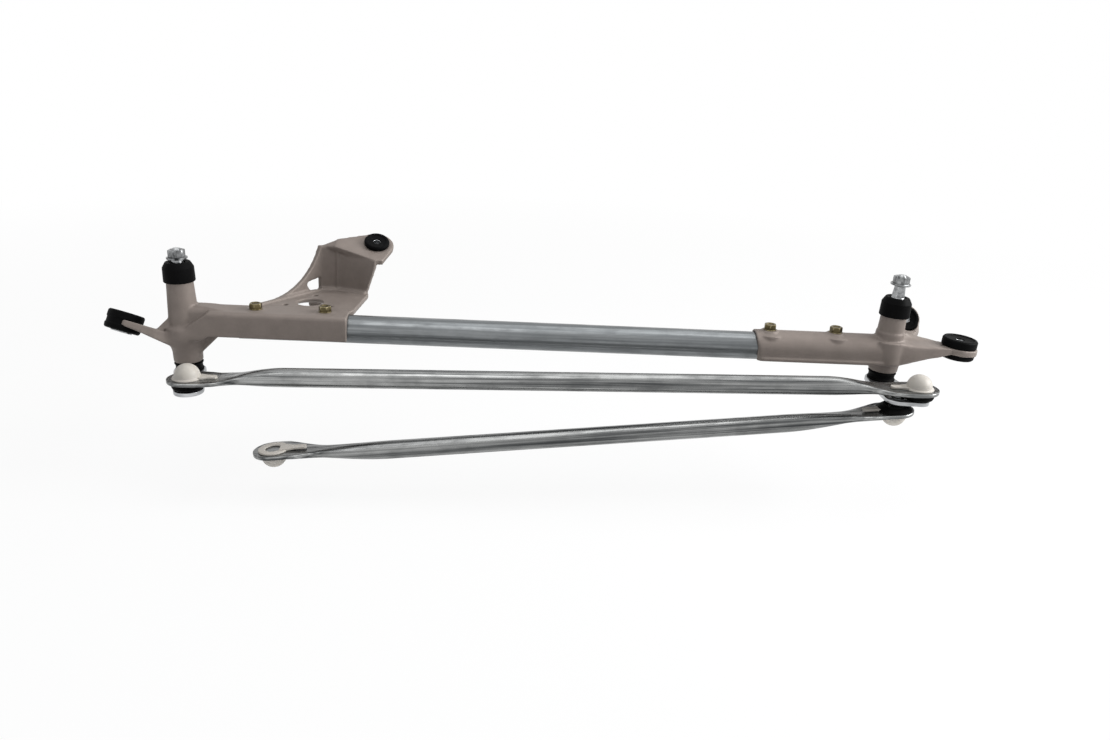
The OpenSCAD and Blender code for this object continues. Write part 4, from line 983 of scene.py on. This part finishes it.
ball_at = {side: (place @ at(0, 0, ball_rise)).to_translation() for side, place in stud_places.items()}
span = ball_at["right"] - ball_at["left"]
long_l, drive_l = span.length / mm, 539.0
long_place = (Matrix.Translation(ball_at["left"]) @ Matrix.Rotation(math.atan2(span.y, span.x), 4, "Z")
              @ Matrix.Rotation(-math.asin(span.z / span.length), 4, "Y"))
drive_place = Matrix.Translation(ball_at["drive"]) @ tilt(182.1, "Z") @ tilt(5.4, "Y") @ tilt(180, "X")


def link_steel(name, place):
    """Plating whose streaks run along a link."""
    turn = place.to_3x3().inverted().to_euler("XYZ")
    return plated_steel(name, (0.05, 0.053, 0.055), (0.41, 0.415, 0.41), (0.010, 1, 1), 400.0, 0.24, turn)


long_tube = pressed_link(long_l, link_r=8.3, neck_end=54, press_start=25, roll_end=84, rise=2.8,
                         scoop_above=1.3, scoop_below=0)
piece("long_tube_link", long_tube, link_steel("long_link_zinc", long_place), "connecting_link",
      ["long_link"], long_place, 50)
drive_tube = pressed_link(drive_l, link_r=7.9, neck_end=46, press_start=12, roll_end=100, rise=5.7,
                          scoop_above=1.2, scoop_below=1.6)
piece("drive_tube_link", drive_tube, link_steel("drive_link_zinc", drive_place), "motor_link",
      ["drive_link"], drive_place, 50)

# Ball sockets
# Off-white nylon mouldings clipped into the links' flat ends: a dome over the ball, a flange
# on the other face, and a short tail that stops the socket from turning.
# The nylon is darkened in its inner corners by painted shade.
nylon = mottled_finish(
    "natural_nylon", (0.475, 0.445, 0.402), (0.521, 0.492, 0.449),
    rough=(0.42, 0.52), depth=0.0001, strength=0.2,
    layers=[("Painted_shade", 0.4, (0.29, 0.265, 0.235))],
    looks={"Specular IOR Level": 0.35, "Subsurface Weight": 0.12,
           "Subsurface Radius": (0.002, 0.0018, 0.0015)},
    fineness=1600.0)
plate_top, plate_under = plate_t / 2 - plate_drop, -plate_t / 2 - plate_drop
dome_r, cup_r, stem_r, mouth_r = 10.9, 8.35, 9.6, 7.4
flange_r, flange_t, tail_t = 12.8, 1.5, 2.1
under = plate_under - flange_t


def nylon_socket(tail_end, tail_above):
    """A dome with a flared foot over the link's end, hollow for the ball, with a flange under the
    link and a tapered tail on one face."""
    cup = [(0, cup_r, 0)] + round_part(cup_r, 84, -40, -7)
    mouth = [(6.6, under + 0.6, 0.2), (mouth_r, under, 0.3)]
    flange = [(flange_r - 0.4, under, 0.6), (flange_r, plate_under - 0.4, 0.3),
              (flange_r - 0.2, plate_under, 0.1)]
    stem = [(stem_r, plate_under, 0), (stem_r, plate_top, 0)]
    flare = [(12.6, plate_top, 0.2), (12.5, plate_top + 0.7, 0.4), (11.2, plate_top + 1.7, 0.8)]
    dome = round_part(dome_r, 6, 90, 7) + [(0, dome_r, 0)]
    bm = turned(cup + mouth + flange + stem + flare + dome)
    low = plate_top if tail_above else plate_under - tail_t
    half = [(6, 5.6, 0), (11.5, 5.2, 1), (17, 3.3, 3), (tail_end, 2.8, 2)]
    outline = filleted([(x, -y, radius) for x, y, radius in half] + half[::-1])
    rings = []
    for inset, rise in ((0.25, 0), (0, 0.3), (0, tail_t - 0.5), (0.45, tail_t)):
        z = (low + rise) * mm
        rings.append([bm.verts.new((x * mm, (y - math.copysign(inset, y)) * mm, z)) for x, y in outline])
    return skinned(bm, rings)


long_far = long_place @ at(long_l, 0, 0)
drive_far = drive_place @ at(drive_l, 0, 0)
turn_back = tilt(180, "Z")
for node, body, place, tail_end, tail_above in (
        ("long_link_left_socket", "connecting_link", long_place, 25, True),
        ("long_link_right_socket", "connecting_link", long_far @ turn_back, 25, True),
        ("drive_link_socket", "motor_link", drive_place, 28, False),
        ("motor_socket", "motor_link", drive_far @ turn_back, 28, False)):
    piece("nylon_" + node, nylon_socket(tail_end, tail_above), nylon, body, [node], place)

# Link seals and drive boot
# Black rubber rings round the long link's balls, and a cone of rubber round the drive ball's neck.
# They sit on the sockets' flanges and keep the grease in.
seal_seat = under - 2 * fit
for side, place in (("left", long_place), ("right", long_far)):
    seal = turned([(mouth_r, seal_seat, 0.2), (13.0, seal_seat, 0.3), (13.5, -6.5, 0.4), (13.5, -7.6, 0.3),
                   (13.0, -8.0, 0.2), (13.4, -8.5, 0.3), (12.5, -10.3, 0.5), (mouth_r, -10.3, 0.3)])
    piece(f"{side}_link_ring", seal, black_rubber, "connecting_link",
          [f"long_link_{side}_seal"], place)
boot_bore_r, boot_top = flange_r + fit, plate_under - fit
boot = turned([(boot_bore_r, boot_top, 0.2), (15.2, boot_top, 0.4), (15.8, -5.1, 0.5), (14.6, -6.0, 0.4),
               (12.4, -7.7, 1.2), (10.4, -8.6, 0.4), (10.0, -9.5, 0.3), (mouth_r, -9.5, 0.3),
               (mouth_r, seal_seat, 0.2), (boot_bore_r, seal_seat, 0.2)])
piece("drive_rubber_boot", boot, black_rubber, "motor_link", ["drive_link_boot"], drive_place)

# Spring clips
# Small steel circlips sprung into the shaft grooves and hidden under the caps.
# They stay as the CAD solids, in the bright zinc of the shafts.
for side in pivots:
    clip_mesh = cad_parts[f"{side}_circlip"].data
    clip_mesh.materials.clear()
    clip_mesh.materials.append(bright_zinc)
